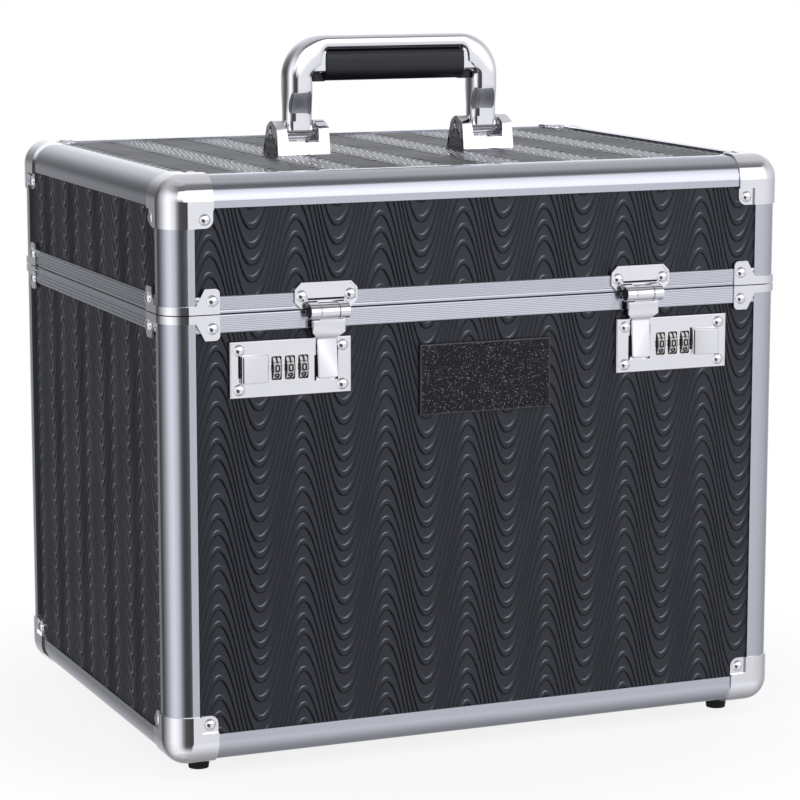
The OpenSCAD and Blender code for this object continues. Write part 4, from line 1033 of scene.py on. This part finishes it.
# What polished metal sees: a height in the studio, as a sine, and tones round it by bearing in degrees, with 0 ahead
# and 90 at the left; a ring ends at 180 with the tone that it starts with
STUDIO_RINGS = (
    (-0.95, ((-180, 0.30), (-40, 0.45), (60, 0.60))),
    (-0.80, ((-180, 0.30), (-120, 0.30), (-60, 0.58), (0, 0.70), (40, 0.95), (90, 0.90), (140, 0.40))),
    (-0.50, ((-180, 0.45), (-132, 0.35), (-90, 0.46), (-50, 0.82), (-14, 0.88), (-9, 0.08), (17, 0.10), (29, 0.35),
             (41, 0.70), (55, 0.98), (80, 1.00), (110, 0.50), (140, 0.15))),
    (-0.24, ((-180, 0.58), (-155, 0.77), (-110, 0.41), (-80, 0.59), (-50, 0.68), (-14, 0.80), (-10, 0.06), (17, 0.08),
             (29, 0.27), (41, 0.74), (53, 0.96), (68, 1.12), (84, 0.98), (104, 0.56), (126, 0.23), (146, 0.07),
             (157, 0.12), (165, 0.36), (174, 0.50))),
    (-0.05, ((-180, 0.66), (-158, 1.00), (-115, 0.55), (-80, 0.70), (-50, 0.86), (-14, 0.90), (-10, 0.07), (17, 0.08),
             (29, 0.29), (41, 0.78), (53, 0.96), (68, 1.20), (84, 1.05), (104, 0.62), (126, 0.23), (146, 0.07),
             (157, 0.13), (165, 0.38), (174, 0.52))),
    (0.04, ((-180, 0.75), (-160, 1.14), (-120, 0.62), (-80, 0.75), (-55, 0.90), (-38, 1.60), (-20, 1.75), (-4, 1.60),
            (2, 0.20), (17, 0.08), (29, 0.30), (41, 0.70), (53, 0.98), (68, 1.20), (84, 1.05), (104, 0.62),
            (126, 0.23), (146, 0.07), (160, 0.10), (170, 0.34))),
    (0.25, ((-180, 0.75), (-158, 1.10), (-115, 0.62), (-78, 0.75), (-55, 0.85), (-40, 1.50), (-20, 1.75), (0, 1.70),
            (22, 1.60), (30, 1.00), (48, 1.00), (72, 1.20), (106, 0.60), (140, 0.10), (163, 0.18))),
    (0.46, ((-180, 0.72), (-150, 0.78), (-110, 0.64), (-75, 0.65), (-55, 0.80), (-40, 1.45), (20, 1.40), (30, 0.60),
            (50, 0.90), (80, 0.96), (110, 0.50), (140, 0.20), (165, 0.34))),
    (0.65, ((-180, 0.71), (-140, 0.70), (-100, 0.60), (-62, 0.50), (-45, 1.20), (15, 1.20), (28, 0.40), (45, 0.38),
            (80, 0.66), (120, 0.42), (150, 0.38))),
    (0.70, ((-180, 0.70), (-140, 0.70), (-100, 0.56), (-62, 0.24), (-45, 0.18), (20, 0.15), (60, 0.46), (100, 0.49),
            (140, 0.40))),
    (0.90, ((-180, 0.67), (-90, 0.59), (-45, 0.22), (20, 0.20), (90, 0.44))),
    (0.97, ((-180, 0.67), (-90, 0.62), (0, 0.50), (90, 0.50))),
)
STUDIO_TINT = (0.97, 0.985, 1.03)
BRIGHTEST = 1.8  # a ramp holds tones up to 1, so the rings are stored as shares of this
# Size, place and target of each lamp
LAMPS = {
    "top_lamp": ((1.4, 1.0), (0.25, -0.45, 1.75), (0.0, 0.0, 0.25)),
    "side_lamp": ((0.8, 1.3), (-1.7, -0.75, 0.85), (0.0, 0.0, 0.20)),
}
FLOOR_DROP = 0.2 * MM  # from the foot of the box down to the floor
SENSOR = 36.0  # width of the camera's sensor, in mm
CAMERA_PLACE = (-0.73046, -1.74701, 0.50640)
CAMERA_TARGET = (6.973 * MM, 0.0, 190.346 * MM)


def studio_world(s):
    """Even soft light; metal sees bright panels with dark gaps between them, and the camera sees white."""
    g = Graph(bpy.data.worlds.new("studio"))
    x, y, z = g.add("SeparateXYZ", {0: g.add("TexCoord").outputs["Generated"]}).outputs
    turned = g.add("CombineXYZ", {0: g.math("MULTIPLY", y, -1.0), 1: g.math("MULTIPLY", x, -1.0)}).outputs[0]
    bearing = g.add("TexGradient", {0: turned}, gradient_type="RADIAL").outputs["Fac"]
    studio, below = None, None
    for height, tones in STUDIO_RINGS:
        closed = (*tones, (180, tones[0][1]))
        ring = g.ramp(bearing, [(angle / 360 + 0.5, tone / BRIGHTEST) for angle, tone in closed])
        if studio is not None:
            part = g.add("MapRange", {"Value": z, "From Min": below, "From Max": height}).outputs["Result"]
            ring = g.mix(part, studio, ring)
        studio, below = ring, height
    tint = scaled(STUDIO_TINT, BRIGHTEST)
    studio = g.add("VectorMath", {0: studio, 1: tint}, operation="MULTIPLY").outputs[0]
    path = g.add("LightPath").outputs
    even = g.mix(path["Is Glossy Ray"], (s.fill, s.fill, s.fill), studio)
    light = g.mix(g.seen_ray(path), even, WHITE)
    g.add("OutputWorld", {"Surface": g.add("Background", {"Color": light, "Strength": 1.0}).outputs[0]})
    return g.owner


def aim(thing, place, target):
    """Puts a lamp or camera in its place and turns it to its target."""
    thing.location = place
    thing.rotation_euler = (Vector(target) - Vector(place)).to_track_quat("-Z", "Y").to_euler()
    bpy.context.scene.collection.objects.link(thing)


def soft_lamp(name, power, size, place, target):
    """A soft lamp that metal doesn't mirror."""
    data = bpy.data.lights.new(name, "AREA")
    data.energy, data.shape, data.size, data.size_y = power, "RECTANGLE", *size
    lamp = bpy.data.objects.new(name, data)
    lamp.visible_glossy = False
    aim(lamp, place, target)


class GROOMING_OT_stage(bpy.types.Operator):
    """Sets the floor, light and camera"""

    bl_idname = "grooming.stage"
    bl_label = "Stage"

    def execute(self, context):
        s = context.scene.grooming_stage
        scene = context.scene
        bm = bmesh.new()
        bmesh.ops.create_circle(bm, cap_ends=True, segments=96, radius=s.floor_r)
        mesh = bpy.data.meshes.new("floor")
        bm.to_mesh(mesh)
        bm.free()
        mesh.materials.append(floor_finish(s))
        floor = bpy.data.objects.new("floor", mesh)
        floor.location.z = -FLOOR_DROP
        floor.visible_glossy = False
        scene.collection.objects.link(floor)
        scene.world = studio_world(s)
        for name, layout in LAMPS.items():
            soft_lamp(name, getattr(s, name), *layout)
        data = bpy.data.cameras.new("camera")
        data.sensor_width, data.lens = SENSOR, s.lens
        scene.camera = bpy.data.objects.new("camera", data)
        aim(scene.camera, CAMERA_PLACE, CAMERA_TARGET)
        scene.view_settings.view_transform = "Standard"
        return {"FINISHED"}


class GROOMING_PT_panel(bpy.types.Panel):
    """Lists the steps that dress the box"""

    bl_idname = "GROOMING_PT_panel"
    bl_label = "Grooming Box"
    bl_space_type = "VIEW_3D"
    bl_region_type = "UI"
    bl_category = "Grooming Box"

    def draw(self, context):
        column = self.layout.column()
        for operator in OPERATORS:
            column.operator(operator.bl_idname)


SETTINGS = {
    "grooming_emboss": EmbossSettings,
    "grooming_metal": MetalSettings,
    "grooming_fittings": FittingSettings,
    "grooming_stage": StageSettings,
}
OPERATORS = (GROOMING_OT_skins, GROOMING_OT_profiles, GROOMING_OT_fittings, GROOMING_OT_dials, GROOMING_OT_soft_trim,
             GROOMING_OT_stage)
CLASSES = (*SETTINGS.values(), *OPERATORS, GROOMING_PT_panel)


def register():
    for cls in CLASSES:
        bpy.utils.register_class(cls)
    for name, group in SETTINGS.items():
        setattr(bpy.types.Scene, name, PointerProperty(type=group))


def unregister():
    for name in SETTINGS:
        delattr(bpy.types.Scene, name)
    for cls in reversed(CLASSES):
        bpy.utils.unregister_class(cls)


def main():
    register()
    bpy.ops.grooming.skins()
    bpy.ops.grooming.profiles()
    bpy.ops.grooming.fittings()
    bpy.ops.grooming.dials()
    bpy.ops.grooming.soft_trim()
    bpy.ops.grooming.stage()


if __name__ == "__main__":
    main()
